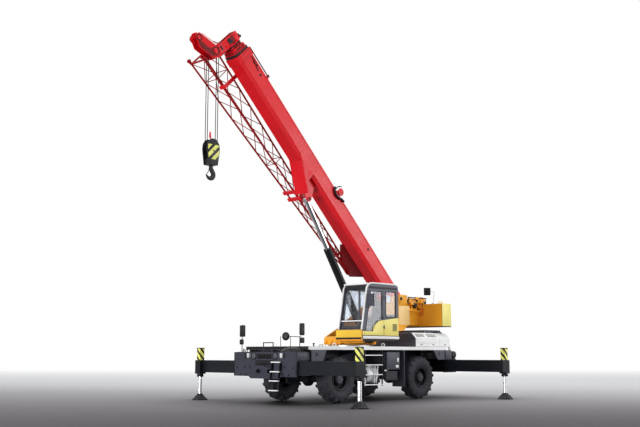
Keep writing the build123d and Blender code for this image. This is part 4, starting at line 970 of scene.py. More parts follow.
def make_jib():
    """The stowed lattice jib in round tube: four chords, zigzag lacing, end frames and pin eyes."""
    chord, lacing, bays = sizes().chord, sizes().lacing, sizes().bays
    butt = (11.2, (-1.15, -0.50), (-0.98, -0.35))
    tip = (2.6, (-0.95, -0.70), (-0.50, -0.35))

    def corner(share, side, level):
        """A point along one of the chords."""
        start, end = (Vector((s, across[side], heights[level])) for s, across, heights in (butt, tip))
        return start.lerp(end, share)

    piece = Piece(BOOM)
    corners = ((0, 0), (1, 0), (1, 1), (0, 1))
    for place in corners:
        piece.rod(corner(0, *place), corner(1, *place), chord, 12)
    faces = list(zip(corners, corners[1:] + corners[:1]))
    shares = [1 - (1 - step / bays) ** 1.15 for step in range(bays + 1)]
    for step in range(bays):
        for a, b in faces:
            start, end = (a, b) if step % 2 else (b, a)
            piece.rod(corner(shares[step], *start), corner(shares[step + 1], *end), lacing, 8)
    for share in (0, shares[1], 0.5, 1):
        for a, b in faces:
            radius = chord if share in (0, 1) else lacing
            piece.rod(corner(share, *a), corner(share, *b), radius, 10)
    middle = sum(tip[1]) / 2
    for side in (0, 1):
        at = corner(0, side, 0)
        eye = at + Vector((0.12, 0, -0.02))
        piece.rod(at, at + Vector((0.10, 0, -0.02)), 0.045, 14, 0.006)
        piece.rod(eye - Vector((0, 0.04, 0)), eye + Vector((0, 0.04, 0)), 0.062, 18, 0.006)
        eye = corner(0, side, 1) - Vector((0.02, 0, 0))
        piece.rod(eye - Vector((0, 0.045, 0)), eye + Vector((0, 0.045, 0)), 0.058, 18, 0.006)
        for level, n in ((1, -0.39), (0, -0.41)):
            end = (2.05, middle + (side - 0.5) * 0.12, n)
            piece.rod(corner(1, side, level), end, chord * 0.9, 12)
    nose = ((2.3, -0.33), (1.62, -0.33), (1.60, -0.38), (1.66, -0.46), (2.3, -0.48))
    for way in (-1, 1):
        piece.slab(nose, middle + way * 0.055, middle + way * 0.075, "Y", 0.004)
    piece.rod((1.74, middle - 0.075, -0.395), (1.74, middle + 0.075, -0.395), 0.03, 14)
    piece.rod((1.82, middle - 0.022, -0.40), (1.82, middle + 0.022, -0.40), 0.125, 28, 0.008)
    # The jib's darker red is painted shade.
    item = piece.finish("stowed_jib", "boom_base", "boom_red", jib_shaded_paint())
    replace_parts(item, "lattice_jib")


# ---------------------------------------------------------------- cab
def screen(y, z, out=0.0):
    """A point on the outside of the sloping windscreen, moved forward by a little."""
    share = (z - SILL) / (SCREEN_TOP - SILL)
    return Vector((CAB_FRONT + share * (ROOF_FRONT - CAB_FRONT) + out, y, z))


def make_cab_trim():
    """Guard tubes, sign plate with a strip of painted shadow under it, seals, wiper, mirror, yellow lower
    panels, skirt and notice.
    """
    wall = CAB_LEFT + 0.008
    tubes = Piece()
    guard = sizes().guard
    for y in (CAB_RIGHT + 0.01, CAB_LEFT - 0.01):
        front = (screen(y, 2.36, 0.035), screen(y, 3.80, 0.04))
        tubes.tube((*front, (0.60, y, 3.915), (-0.78, y, 3.915), (-0.80, y, 3.86)), guard, 0.10)
    tubes.tube(((0.735, CAB_RIGHT, 3.885), (0.735, CAB_LEFT, 3.885)), guard)
    low, high = screen(SCREEN_RIGHT, 2.615, 0.002), screen(SCREEN_LEFT, 2.665, 0.016)
    tubes.block((low.x - 0.02, low.y, low.z), high, 0.004)
    tubes.finish("cab_guard_tubes", "turntable", "deck_white", deck_paint())

    sign = Piece()
    sign.block((1.0602, 0.305, 2.105), (1.066, 1.445, 2.345), 0.002)
    sign.finish("sign_plate", "turntable", "body_yellow", sign_paint())

    dark = Piece()
    band = ((3.71, 0.002), (3.85, 0.002), (3.85, 0.014), (3.71, 0.014))
    dark.slab([(screen(0, z, out).x, z) for z, out in band], CAB_RIGHT + 0.05, CAB_LEFT - 0.05, "Y", 0.003)
    dark.block((-0.86, CAB_LEFT, 2.146), (1.0, CAB_LEFT + 0.005, 2.166), 0.002)
    dark.block((-0.80, CAB_LEFT, 3.74), (0.66, wall, 3.80), 0.002)
    dark.tube([(x, CAB_LEFT + 0.002, z) for x, z in (*REAR_PANE, REAR_PANE[0])], 0.012)
    for low, high in ((2.40, 2.62), (2.66, 3.79)):
        right, left = ([screen(y, z, 0.002) for z in (low, high)] for y in (SCREEN_RIGHT, SCREEN_LEFT))
        dark.tube((right[0], *left, right[1], right[0]), 0.011)
    pivot = screen(1.02, 2.70, 0.02)
    dark.tube((pivot, screen(0.80, 3.40, 0.03)), 0.008)
    dark.tube((screen(0.86, 3.02, 0.022), screen(0.74, 3.66, 0.022)), 0.007)
    dark.rod(screen(1.02, 2.70), screen(1.02, 2.70, 0.04), 0.02, 12)
    turn = turned((0.80, 1.63, 3.33), 40, "Z")
    dark.block((-0.03, -0.125, -0.205), (0.03, 0.125, 0.205), 0.02, turn)
    dark.tube(((0.74, 1.44, 3.60), (0.76, 1.54, 3.62), (0.80, 1.61, 3.60), (0.80, 1.61, 3.50)), 0.011, 0.04)
    dark.tube(((0.82, 1.44, 3.08), (0.80, 1.60, 3.08), (0.80, 1.61, 3.16)), 0.011, 0.04)
    # A strip of painted shadow under the sign plate.
    dark.block((1.0602, 0.305, 2.035), (1.065, 1.445, 2.100), 0.002)
    for row in range(7):
        z = 2.325 + row * 0.036
        dark.block((-0.77, wall, z), (-0.54, wall + 0.006, z + 0.022), 0.002)
    dark.finish("cab_black_trim", "turntable", "mirror_black", black_plastic())

    glass = Piece()
    for x in (0.0305, -0.0325):
        glass.block((x, -0.105, -0.185), (x + 0.002, 0.105, 0.185), place=turn)
    glass.finish("cab_mirror_glass", "turntable", "mirror_black", skirt_paint())

    side = Piece()
    panel = ((-0.862, 2.168), (-0.088, 2.168), (-0.088, 2.690), (-0.45, 2.735), (-0.862, 2.775))
    side.slab(panel, CAB_LEFT, wall, "Y", 0.003)
    side.block((0.914, CAB_LEFT, 2.168), (1.012, wall, 2.305), 0.003)
    side.finish("cab_lower_panel", "turntable", "body_yellow", panel_paint())

    quarter = [(-0.072, 2.168), (0.902, 2.168), (0.902, 2.305)]
    for step in range(9):
        angle = math.radians(step * 90 / 8)
        quarter.append((-0.072 + 0.575 * math.cos(angle), 2.305 + 0.385 * math.sin(angle)))
    door = Piece()
    door.slab(quarter, CAB_LEFT, wall, "Y", 0.003)
    door.finish("door_lower_panel", "cab_door", "body_yellow", panel_paint())

    fittings = Piece()
    fittings.tube([(x, CAB_LEFT + 0.003, z) for x, z in (*DOOR_PANE, DOOR_PANE[0])], 0.011)
    fittings.block((-0.045, wall, 2.74), (0.085, 1.482, 2.78), 0.008)
    fittings.block((-0.05, CAB_LEFT, 2.72), (0.0, 1.468, 2.80), 0.006)
    fittings.finish("door_black_trim", "cab_door", "mirror_black", black_plastic())

    skirt = Piece()
    skirt.block((-0.885, 1.452, 2.066), (0.99, 1.464, 2.144), 0.003)
    skirt.block((-0.885, 1.38, 2.056), (0.99, 1.46, 2.07), 0.003)
    skirt.block((-0.50, 1.395, 3.29), (-0.22, 1.400, 3.54))
    skirt.finish("cab_skirt_and_notice", "turntable", "deck_white", deck_paint())


def cushion(low, high, turn=None):
    """A padded block: its faces swell from the seams."""
    part = bmesh.new()
    low, high = Vector(low), Vector(high)
    bmesh.ops.create_cube(part, size=1.0)
    bmesh.ops.subdivide_edges(part, edges=part.edges[:], cuts=7, use_grid_fill=True)
    for vert in part.verts:
        swell = [math.cos(math.pi * c) ** 0.5 if abs(c) < 0.5 else 0.0 for c in vert.co]
        for axis in range(3):
            others = swell[(axis + 1) % 3] * swell[(axis + 2) % 3]
            vert.co[axis] *= 0.90 + 0.10 * others
    bmesh.ops.scale(part, vec=high - low, verts=part.verts)
    if turn is not None:
        bmesh.ops.transform(part, matrix=turn, verts=part.verts)
    bmesh.ops.translate(part, vec=(low + high) / 2, verts=part.verts)
    return part


def make_seat():
    """The driver's padded seat, backrest and headrest."""
    lean = Matrix.Rotation(math.radians(-7.4), 4, "Y")
    shapes = (
        ("seat_cushion", (-0.40, 0.69, 2.475), (0.15, 1.16, 2.60), None),
        ("seat_backrest", (-0.42, 0.70, 2.58), (-0.27, 1.15, 3.18), lean),
        ("seat_headrest", (-0.49, 0.80, 3.20), (-0.39, 1.05, 3.38), lean),
    )
    for name, low, high, turn in shapes:
        piece = Piece()
        piece.merge(cushion(low, high, turn))
        piece.finish(name, "turntable", "seat_black", seat_cloth(), smooth=60)


# ---------------------------------------------------------------- superstructure
def make_turntable_trim():
    """Foot-pin brackets, the nose's ribs, ring bolts, slewing motor, hoses and the platform."""
    ledge = RING_TOP + 0.09
    piece = Piece()
    for way in (-1, 1):
        side = way * SIDE_PLATE
        piece.block((-2.70, side, 3.31), (-2.20, side + way * 0.012, 3.695), 0.006)
        piece.rod((FOOT.x, side, FOOT.z), (FOOT.x, side + way * 0.03, FOOT.z), 0.115, 28, 0.006)
    strip = ((-0.9, 1.95), (0.84, 1.95), (0.84, ledge), (-0.8, ledge))
    piece.sides(strip, SIDE_PLATE, SIDE_PLATE + 0.03, 0.004)
    pad = ((-1.3, 2.35), (-0.95, 2.10), (-0.45, 2.10), (-0.35, 2.30), (-0.9, 2.62))
    piece.sides(pad, SIDE_PLATE, SIDE_PLATE + 0.014, 0.004)
    for x in (0.15, 0.55):
        top = 2.30 - x * 0.2
        rib = ((x, ledge), (x + 0.02, ledge), (x + 0.02, top), (x, top))
        piece.sides(rib, SIDE_PLATE, SIDE_PLATE + 0.05, 0.003)
    for y in (-0.25, 0.0, 0.25):
        piece.slab(((0.93, 1.88), (1.02, 1.88), (0.94, 2.06), (0.93, 2.06)), y - 0.012, y + 0.012, "Y", 0.002)
    piece.block((0.84, 0.30, RING_TOP), (1.03, 1.40, RING_TOP + 0.025), 0.004)
    piece.tube(((-2.80, 0.44, 3.12), (-3.62, 0.44, 3.12), (-3.62, 0.44, 3.02)), 0.022, 0.05)
    piece.tube(((-3.58, 0.46, 2.97), (-3.58, 0.46, 3.46), (-3.30, 0.46, 3.46)), 0.024, 0.05)
    for x, z in ((-2.95, 3.40), (-3.25, 3.60), (-3.45, 3.28)):
        piece.block((x - 0.09, 0.385, z - 0.05), (x + 0.09, 0.44, z + 0.05), 0.008)
    piece.block((-2.98, 0.31, 2.96), (-2.745, 0.385, 3.22), 0.01)
    piece.block((-3.50, 0.31, 2.952), (-3.29, 0.385, 3.17), 0.01)
    piece.finish("turntable_trim", "turntable", "body_yellow", body_paint())

    # These plates beside the boom's foot are painted highlight: their peach colour stands for light reflected
    # off them.
    plates = Piece()
    plates.both((-2.84, 0.381, 2.60), (-2.21, 0.391, 3.29), 0.006)
    plates.finish("foot_side_plates", "turntable", "body_yellow", peach_paint())

    dark = Piece()
    for way in (-1, 1):
        side = way * (SIDE_PLATE + 0.03)
        dark.rod((FOOT.x, side, FOOT.z), (FOOT.x, side + way * 0.018, FOOT.z), 0.062, 24, 0.005)
        dark.rod((-0.76, way * 0.394, 2.15), (-0.76, way * 0.415, 2.15), 0.055, 24, 0.005)
        for x, z in ((-2.65, 3.65), (-2.65, 3.36), (-2.25, 3.65), (-2.25, 3.36), (-1.0, 2.2), (-0.55, 2.2)):
            dark.bolt((x, way * 0.392, z), (0, way, 0), 0.013)
    dark.rod((0.62, 0.23, RING_TOP), (0.62, 0.23, 2.20), 0.085, 20, 0.01)
    dark.rod((0.62, 0.23, 2.20), (0.62, 0.23, 2.24), 0.05, 12)
    for x in (0.15, 0.35, 0.55, 0.75):
        dark.block((x - 0.05, 0.55, RING_TOP), (x + 0.05, 0.72, RING_TOP + 0.04), 0.006)
    for offset in (0.0, 0.035, 0.07):
        start, middle = (0.50, 0.52 + offset, 1.945), (0.0, 0.60 + offset, 1.95)
        route = (start, middle, (-0.55, 0.50 + offset, 1.95), (-0.80, 0.41, 2.02 + offset))
        dark.tube(route, sizes().hose, 0.15)
    rail_y, rail_z = 0.385, 3.62
    dark.tube(((-2.75, rail_y, rail_z), (-3.86, rail_y, rail_z)), 0.018)
    for x in (-2.78, -3.30, -3.84):
        dark.tube(((x, rail_y, 3.35), (x, rail_y, rail_z)), 0.012)
    dark.block((-0.80, 1.375, 1.965), (0.95, 1.386, 2.050), 0.003)
    for x in (-0.70, -0.35, -0.05, 0.30, 0.60):
        dark.rod((x, 1.18, RING_TOP), (x + 0.16, 1.30, RING_TOP), 0.032, 12, 0.004)
    dark.finish("turntable_dark_trim", "turntable", "cylinder_black", black_paint())

    steel = Piece()
    for x, y in circle(40, 0.79):
        if x < 0.78:
            steel.bolt((x, y, RING_TOP), (0, 0, 1), 0.014)
    steel.finish("slewing_ring_bolts", "turntable", "jack_chrome", machined_steel())


def make_winch_trim():
    """Rope on both drums, their flange bolts and the mirror above the counterweight."""
    half, turns, steps = 0.278, 22, 4
    profile = [(0.165, -half)]
    for step in range(turns * steps + 1):
        wave = 0.009 * abs(math.sin(math.pi * step / steps))
        profile.append((0.222 + wave, -half + 2 * half * step / (turns * steps)))
    rope = Piece()
    for x, z in WINCHES:
        rope.lathe((*profile, (0.165, half)), (x, 0, z), (0, 1, 0), 32)
    rope.finish("drum_ropes", "turntable", "wire_rope", wire_rope())

    dark = Piece()
    turn = turned((-3.62, 0.62, 3.86), 40, "Z")
    dark.block((-0.025, -0.125, -0.14), (0.025, 0.125, 0.14), 0.015, turn)
    for x, z in WINCHES:
        for way in (-1, 1):
            side = way * SIDE_PLATE
            dark.rod((x, side, z), (x, side + way * 0.05, z), 0.10, 24, 0.008)
            for across, up in circle(8, 0.12):
                dark.bolt((x + across, side, z + up), (0, way, 0), 0.012)
    dark.finish("winch_dark_trim", "turntable", "cylinder_black", black_paint())

    arm = Piece()
    arm.tube(((-3.72, 0.70, 3.86), (-3.92, 0.72, 3.86), (-3.88, 0.70, 3.38)), 0.010, 0.06)
    arm.finish("mirror_arm", "turntable", "cover_grey", silver_paint())


def make_counterweight_trim():
    """The counterweight's pale end plates, painted light of the lit end face, put on both ends; its dark
    base, seams and lifting eyes.
    """
    pale = Piece()
    # The end plates' pale yellow is painted light: the lit end face's brightness as colour. The lifting eyes
    # share it.
    pale.both((-3.945, 1.448, 2.56), (-3.402, 1.454, 3.375), 0.003)
    for y in (-1.2, 1.2):
        pale.tube(((-3.55, y, 3.37), (-3.55, y, 3.46), (-3.75, y, 3.46), (-3.75, y, 3.37)), 0.018, 0.05)
    pale.finish("counterweight_ends", "turntable", "body_yellow", painted_light_yellow())

    dark = Piece()
    dark.block((-3.952, -1.452, 2.532), (-3.396, 1.452, 2.560), 0.004)
    dark.both((-3.399, 1.437, 2.56), (-3.396, 1.449, 3.37))
    for x in (-3.50, -3.86):
        for y in (-0.95, 0.95):
            dark.bolt((x, y, 3.38), (0, 0, 1), 0.03)
    dark.finish("counterweight_base", "turntable", "cylinder_black", black_paint())


# ---------------------------------------------------------------- carrier
def make_deck_trim():
    """The deck's dark front edge and tread plates, lifting eyes, dome and small posts."""
    edge = 1.38  # the line of the posts and eyes
    plates = Piece()
    plates.block((3.34, -1.35, 1.62), (3.995, 1.35, 1.626), 0.002)
    for way in (-1, 1):
        plate = ((-0.8, way * 0.9), (3.3, way * 0.9), (3.3, way * edge), (-0.8, way * edge))
        plates.slab(plate, DECK, DECK + 0.004, "Z")
    item = plates.finish("tread_plates", "carrier", "deck_white", tread_plate(), deck_paint())
    for face in item.data.polygons:
        face.material_index = 1 if face.center.x < 3.32 else 0

    dark = Piece()
    dark.block((3.534, -1.448, 1.692), (3.540, 1.448, 1.796), 0.002)
    dome = ((0, 0.150), (0.16, 0.138), (0.30, 0.095), (0.38, 0.03), (0.385, 0.0), (0, 0))
    dark.lathe(dome, (3.63, 0.86, 1.625), (0, 0, 1), 40)
    staple = ((-0.035, 1.62), (-0.035, 1.70), (0.035, 1.70), (0.035, 1.62))
    for x in (3.74, 3.62):
        for y in (1.33, -1.33):
            dark.tube([(x + dx, y, z) for dx, z in staple], 0.012, 0.04)
    dark.rod((3.24, edge, DECK), (3.24, edge, 1.87), 0.022, 12)
    dark.rod((3.24, edge, 1.87), (3.24, edge, 1.895), 0.04, 12)
    dark.tube(((2.98, edge, DECK), (2.98, edge, 1.84), (2.84, edge, 1.84), (2.84, edge, DECK)), 0.010, 0.03)
    dark.tube(((-3.64, edge, DECK), (-3.69, edge, 1.93)), 0.009)
    ring = ((0.05, -0.014), (0.064, 0), (0.05, 0.014), (0.036, 0))
    for way in (-1, 1):
        dark.lathe(ring, (-4.00, way * 1.30, 1.745), (0, 1, 0), 24, closed=True)
        dark.rod((-4.255, way * 0.86, 1.52), (-4.255, way * 1.34, 1.52), 0.135, 32, 0.02)
        dark.block((-4.25, way - 0.05, 1.38), (-4.05, way + 0.05, 1.44), 0.006)
    dark.finish("deck_dark_trim", "carrier", "chassis_dark", black_paint())

    white = Piece()
    ring = ((0.052, -0.012), (0.066, 0), (0.052, 0.012), (0.040, 0))
    for x in (-0.118, 2.3):
        for way in (-1, 1):
            white.lathe(ring, (x, way * edge, 1.852), (0.5, 0.5, 0), 24, closed=True)
    white.finish("deck_lifting_eyes", "carrier", "deck_white", deck_paint())


def make_front_trim():
    """Headlamp rings, pins, shackles and hoses on the front plate, white steps and notices."""
    front = FRONT_PLATE
    dark = Piece()
    bezel = ((0.096, -0.01), (0.096, 0.022), (0.106, 0.028), (0.120, 0.022), (0.120, -0.01))
    for way in (-1, 1):
        dark.lathe(bezel, (front, way * 0.497, 1.50), (1, 0, 0), 36, closed=True)
        for y, z in ((1.31, 1.138), (0.92, 1.158), (0.68, 1.16), (1.109, 0.917), (0.86, 0.92)):
            dark.rod((front - 0.01, way * y, z), (front + 0.014, way * y, z), 0.028, 16, 0.004)
        dark.tube(((4.13, way * 0.25 - 0.045, 1.03), (4.13, way * 0.25 + 0.045, 1.03)), 0.026)
    dark.both((front, 0.86, 1.42), (front + 0.012, 0.93, 1.59), 0.003)
    dark.both((front - 0.02, 1.449, 0.88), (front + 0.002, 1.405, 1.60), 0.004)
    dark.block((front - 0.028, -0.325, 1.405), (front - 0.026, 0.325, 1.555))
    for y in (-0.22, -0.08, 0.10, 0.24):
        dark.rod((front - 0.03, y, 1.48), (front + 0.006, y, 1.48), 0.045, 20, 0.006)
    plate = ((-0.42, 1.20), (0.42, 1.20), (0.42, 1.37), (-0.42, 1.37))
    dark.slab(plate, front, front + 0.006, "X", 0.002)
    dark.tube(((4.06, 0.40, 1.28), (4.10, 0.36, 1.18), (4.08, 0.10, 1.15), (4.06, -0.05, 1.22)), 0.014, 0.08)
    dark.tube(((4.03, -1.02, 1.62), (4.03, -1.02, 1.74)), 0.009)
    dark.finish("front_plate_trim", "carrier", "chassis_dark", black_paint())

    pale = Piece()
    for y in (-0.80, -0.735, 0.735, 0.80):
        pale.block((front, y - 0.018, 1.44), (front + 0.010, y + 0.018, 1.58), 0.003)
    for x, z in ((4.14, 1.29), (4.18, 1.0), (4.215, 0.72), (4.25, 0.43)):
        pale.block((x - 0.0625, 0.398, z - 0.002), (x + 0.0125, 0.802, z + 0.0305), 0.005)
    for z in (0.535, 0.86, 1.18, 1.50):
        pale.block((-0.003, 1.383, z - 0.002), (0.883, 1.4505, z + 0.030), 0.005)
    pale.block((0.867, 1.402, 0.52), (0.903, 1.448, 1.20), 0.004)
    pale.block((-0.10, 1.405, 0.585), (-0.02, 1.412, 0.665), 0.001)
    for x, z, wide, high in ((-0.83, 1.35, 0.075, 0.14), (-0.785, 1.137, 0.14, 0.085)):
        pale.block((x - wide / 2, 1.436, z - high / 2), (x + wide / 2, 1.444, z + high / 2), 0.002)
    pale.finish("white_steps_and_notices", "carrier", "deck_white", deck_paint())


def make_mirrors():
    """The driving mirrors at the front corners, in housings on bent tubes."""
    dark = Piece()
    dark.tube(((3.85, -1.30, 1.62), (3.85, -1.30, 2.10)), 0.014)
    dark.tube(((3.85, -1.30, 2.44), (3.85, -1.30, 2.50)), 0.014)
    dark.block((3.80, -1.42, 2.11), (3.87, -1.18, 2.49), 0.03)
    dark.block((3.82, -1.42, 1.86), (3.865, -1.24, 2.03), 0.02)
    for x, y, radius in ((3.78, 1.305, 0.013), (3.90, 1.02, 0.010), (3.98, 0.66, 0.010)):
        dark.tube(((x, y, 1.62), (x, y, 2.10)), radius)
    dark.tube(((3.78, 1.305, 2.08), (3.98, 0.98, 2.10)), 0.011)
    dark.tube(((3.78, 1.305, 2.08), (3.78, 1.38, 2.08)), 0.011)
    dark.block((3.72, 1.29, 2.125), (3.80, 1.475, 2.50), 0.03)
    dark.block((3.72, 1.31, 1.89), (3.80, 1.47, 2.06), 0.03)
    bowl = ((0, 0.035), (0.07, 0.028), (0.12, 0.008), (0.131, -0.006), (0.124, -0.014), (0, -0.014))
    dark.lathe(bowl, (3.99, 0.90, 2.10), (0.94, 0.34, 0), 36)
    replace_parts(dark.finish("driving_mirrors", "carrier", "mirror_black", black_plastic()), "road_mirrors")

    glass = Piece()
    glass.block((3.797, -1.39, 2.14), (3.799, -1.21, 2.46))
    glass.block((3.717, 1.315, 2.145), (3.719, 1.45, 2.48))
    glass.block((3.717, 1.335, 1.905), (3.719, 1.445, 2.045))
    glass.finish("mirror_glasses", "carrier", "mirror_black", mirror_glass())


def make_hood_trim():
    """The hood's front end, dark as painted shade, louvres along its bevel, latches, exhaust, seams and ribs.
    """
    bays = ((-2.02, -2.49), (-2.66, -3.20))  # of the louvres, along X
    slopes = {way: turned((0, way * 1.30, 2.20), way * -45, "X") for way in (-1, 1)}
    dark = Piece()
    # The dark sheet on the hood's front face is painted shade: the white hood's front lies in shadow.
    face = ((-1.385, 1.805), (1.385, 1.805), (1.385, 2.095), (1.19, 2.29), (-1.19, 2.29), (-1.385, 2.095))
    dark.slab(face, -1.902, -1.893, "X", 0.002)
    for way, slope in slopes.items():
        for start, end in bays:
            dark.block((end, -0.085, 0.0005), (start, 0.055, 0.004), 0.001, slope)
        for x in (-2.2, -2.9, -3.6):
            dark.block((x - 0.05, way * 1.40, 1.87), (x + 0.05, way * 1.412, 1.895), 0.004)
        dark.tube(((-1.92, way * 1.401, 1.815), (-3.88, way * 1.401, 1.815)), 0.005)
        for x in (-2.575, -3.30):
            dark.tube(((x, way * 1.400, 1.82), (x, way * 1.400, 2.095)), 0.003)
    dark.tube(((-3.35, 1.12, 2.28), (-3.35, 1.12, 2.34), (-3.35, 1.30, 2.36)), 0.035, 0.04)
    dark.tube(((-3.52, 1.16, 2.28), (-3.52, 1.16, 2.315), (-3.62, 1.26, 2.315)), 0.02, 0.03)
    dark.finish("hood_dark_trim", "carrier", "cover_grey", skirt_paint())

    slats = Piece()
    for slope in slopes.values():
        for start, end in bays:
            count = round((start - end) / 0.05)
            for step in range(count):
                x = end + (step + 0.25) * (start - end) / count
                slats.block((x, -0.078, 0.003), (x + 0.020, 0.048, 0.012), 0.003, slope)
    slats.block((-3.08, 1.4005, 1.915), (-2.02, 1.4045, 2.085), 0.001)
    slats.finish("hood_louvres", "carrier", "deck_white", deck_paint())

    cover = Piece()
    for x in (-3.7, -3.38, -3.06):
        cover.block((x - 0.012, -0.24, 2.41), (x + 0.012, 0.99, 2.416), 0.002)
    for step in range(4):
        cover.bolt((-3.82 + step * 0.3, 1.0, 2.33), (0, 1, 0), 0.012)
    cover.finish("muffler_ribs", "carrier", "cover_grey", silver_paint())


def make_side_trim():
    """The silver tank with its straps, locker doors, the grille, gussets and rear lenses."""
    tank = Piece()
    skin = (
        (0, -0.006), (0.20, 0.004), (0.262, 0.03), (0.273, 0.06),
        (0.273, 0.58), (0.262, 0.61), (0.20, 0.636), (0, 0.646),
    )
    tank.lathe(skin, TANK + Vector((0.06, 0, 0)), (1, 0, 0), 48)
    tank.finish("tank_skin", "carrier", "cover_grey", silver_paint())

    straps = Piece()
    strap = ((0.274, -0.025), (0.281, -0.022), (0.281, 0.022), (0.274, 0.025))
    for x in (0.20, 0.53):
        straps.lathe(strap, TANK + Vector((x, 0, 0)), (1, 0, 0), 48, closed=True)
    for x, lean in ((0.16, 0.10), (0.30, 0.06)):
        straps.tube(((x, 1.375, 1.16), (x + lean, 1.375, 0.60)), 0.020)
    straps.rod((0.38, 1.16, 1.13), (0.38, 1.18, 1.19), 0.05, 20, 0.006)
    straps.finish("tank_straps", "carrier", "deck_white", deck_paint())

    panels = Piece()
    panels.block((-0.905, 1.428, 1.065), (-0.275, 1.437, 1.598), 0.004)
    for x in (-0.80, -0.42):
        panels.block((x - 0.03, 1.43, 1.596), (x + 0.03, 1.444, 1.612), 0.003)
    panels.both((3.40, 1.36, 1.37), (4.0, 1.374, 1.60), 0.004)
    panels.both((-4.04, 1.362, 1.39), (-3.67, 1.374, 1.68), 0.004)
    panels.finish("locker_panels", "carrier", "skirt_grey", skirt_paint())

    dark = Piece()
    for row in range(8):
        z = 0.712 + row * 0.032
        dark.block((-0.82, 1.398, z), (-0.26, 1.410, z + 0.018), 0.002)
    for x in (3.169, -3.168):
        dark.both((x - 0.045, 1.45, 1.50), (x + 0.045, 1.456, 1.61), 0.003)
    dark.both((-0.93, 1.30, 0.66), (-0.24, 1.36, 0.70), 0.004)
    gusset = ((-2.68, 1.69), (-3.62, 1.69), (-3.62, 1.36), (-3.00, 1.36), (-2.68, 1.46))
    dark.sides(gusset, 0.99, 1.01, 0.003)
    dark.finish("side_dark_trim", "carrier", "chassis_dark", black_plastic())

    lamps = Piece()
    for y in (-1.23, -1.13, -1.03, 1.03, 1.13, 1.23):
        lamps.rod((-4.390, y, 1.275), (-4.3995, y, 1.275), 0.042, 20)
    lamps.finish("rear_lenses", "carrier", "lamp", red_lens())


# ---------------------------------------------------------------- outriggers
def make_outrigger_trim(end, side):
    """A striped neck sleeve, the cap, bosses and collar on the beam, and the black float."""
    way = SIDES[side]
    low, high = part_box(f"outrigger_jack_{end}_{side}")
    x, y = (low.x + high.x) / 2, (low.y + high.y) / 2
    beam = f"outrigger_beam_{end}_{side}"
    neck = Piece()
    for turn in range(4):
        place = turned((x, y, 0), 90 * turn, "Z")
        neck.block((0.0852, -0.0885, 1.346), (0.0885, 0.0885, 1.745), place=place)
    neck.finish(f"striped_neck_{end}_{side}", beam, "beam_dark", stripes())

    dark = Piece()
    dark.block((x - 0.10, y - 0.10, 1.738), (x + 0.10, y + 0.10, 1.766), 0.008)
    front, inner = x + way * 0.155 + 0.145, y - way * 0.33
    for sign, face in ((-1, front - 0.29), (1, front)):
        dark.rod((face - sign * 0.01, inner, 1.11), (face + sign * 0.002, inner, 1.11), 0.052, 24)
    ring = ((0.067, -0.02), (0.112, -0.02), (0.118, 0.0), (0.112, 0.055), (0.067, 0.055))
    dark.lathe(ring, (x, y, 0.80), (0, 0, 1), 32, closed=True)
    dark.finish(f"beam_trim_{end}_{side}", beam, "beam_dark", beam_paint())

    pad = Piece()
    cone = (
        (0, 0.0005), (0.2625, 0.0005), (0.2648, 0.03), (0.24, 0.05),
        (0.125, 0.135), (0.10, 0.205), (0.067, 0.215), (0, 0.215),
    )
    pad.lathe(cone, (x, y, 0.0), (0, 0, 1), 48)
    for dx, dy in circle(6, 1.0):
        pad.rod((x + dx * 0.11, y + dy * 0.11, 0.16), (x + dx * 0.235, y + dy * 0.235, 0.048), 0.012, 8)
    pad.finish(f"float_{end}_{side}", f"outrigger_jack_{end}_{side}", "hook_black", cast_black())


def make_casing_trim():
    """Mouth frames and ribs on the outrigger casings."""
    piece = Piece()
    for end in ENDS:
        low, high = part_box(f"outrigger_casing_{end}")
        for sign, z in ((-1, low.z), (1, high.z)):
            piece.both((low.x, 1.25, z), (high.x, 1.358, z + sign * 0.012), 0.003)
        for sign, x in ((-1, low.x), (1, high.x)) if end == "rear" else ((-1, low.x),):
            for y in (-1.30, -0.95, -0.55, 0.55, 0.95, 1.30):
                piece.block((x, y - 0.01, low.z), (x + sign * 0.012, y + 0.01, high.z), 0.002)
    piece.finish("casing_ribs", "carrier", "chassis_dark", beam_paint())


# ---------------------------------------------------------------- hook
# Each row: place along X from the shank, height, half width across the bend, half thickness.
HOOK_SHANK = (
    (0.0, 7.31, 0.060, 0.05), (0.0, 7.235, 0.068, 0.05),
    (-0.016, 7.165, 0.076, 0.052), (-0.052, 7.105, 0.080, 0.053),
)
# Each row: angle round the bowl, half width across the bend, half thickness.
HOOK_BOWL = (
    (150, 0.082, 0.053), (175, 0.084, 0.054), (200, 0.084, 0.054), (225, 0.082, 0.053), (250, 0.077, 0.052),
    (275, 0.066, 0.050), (300, 0.056, 0.045), (322, 0.044, 0.036), (342, 0.030, 0.026), (358, 0.016, 0.015),
)
HOOK_CENTRE, HOOK_REACH = 6.992, 0.19


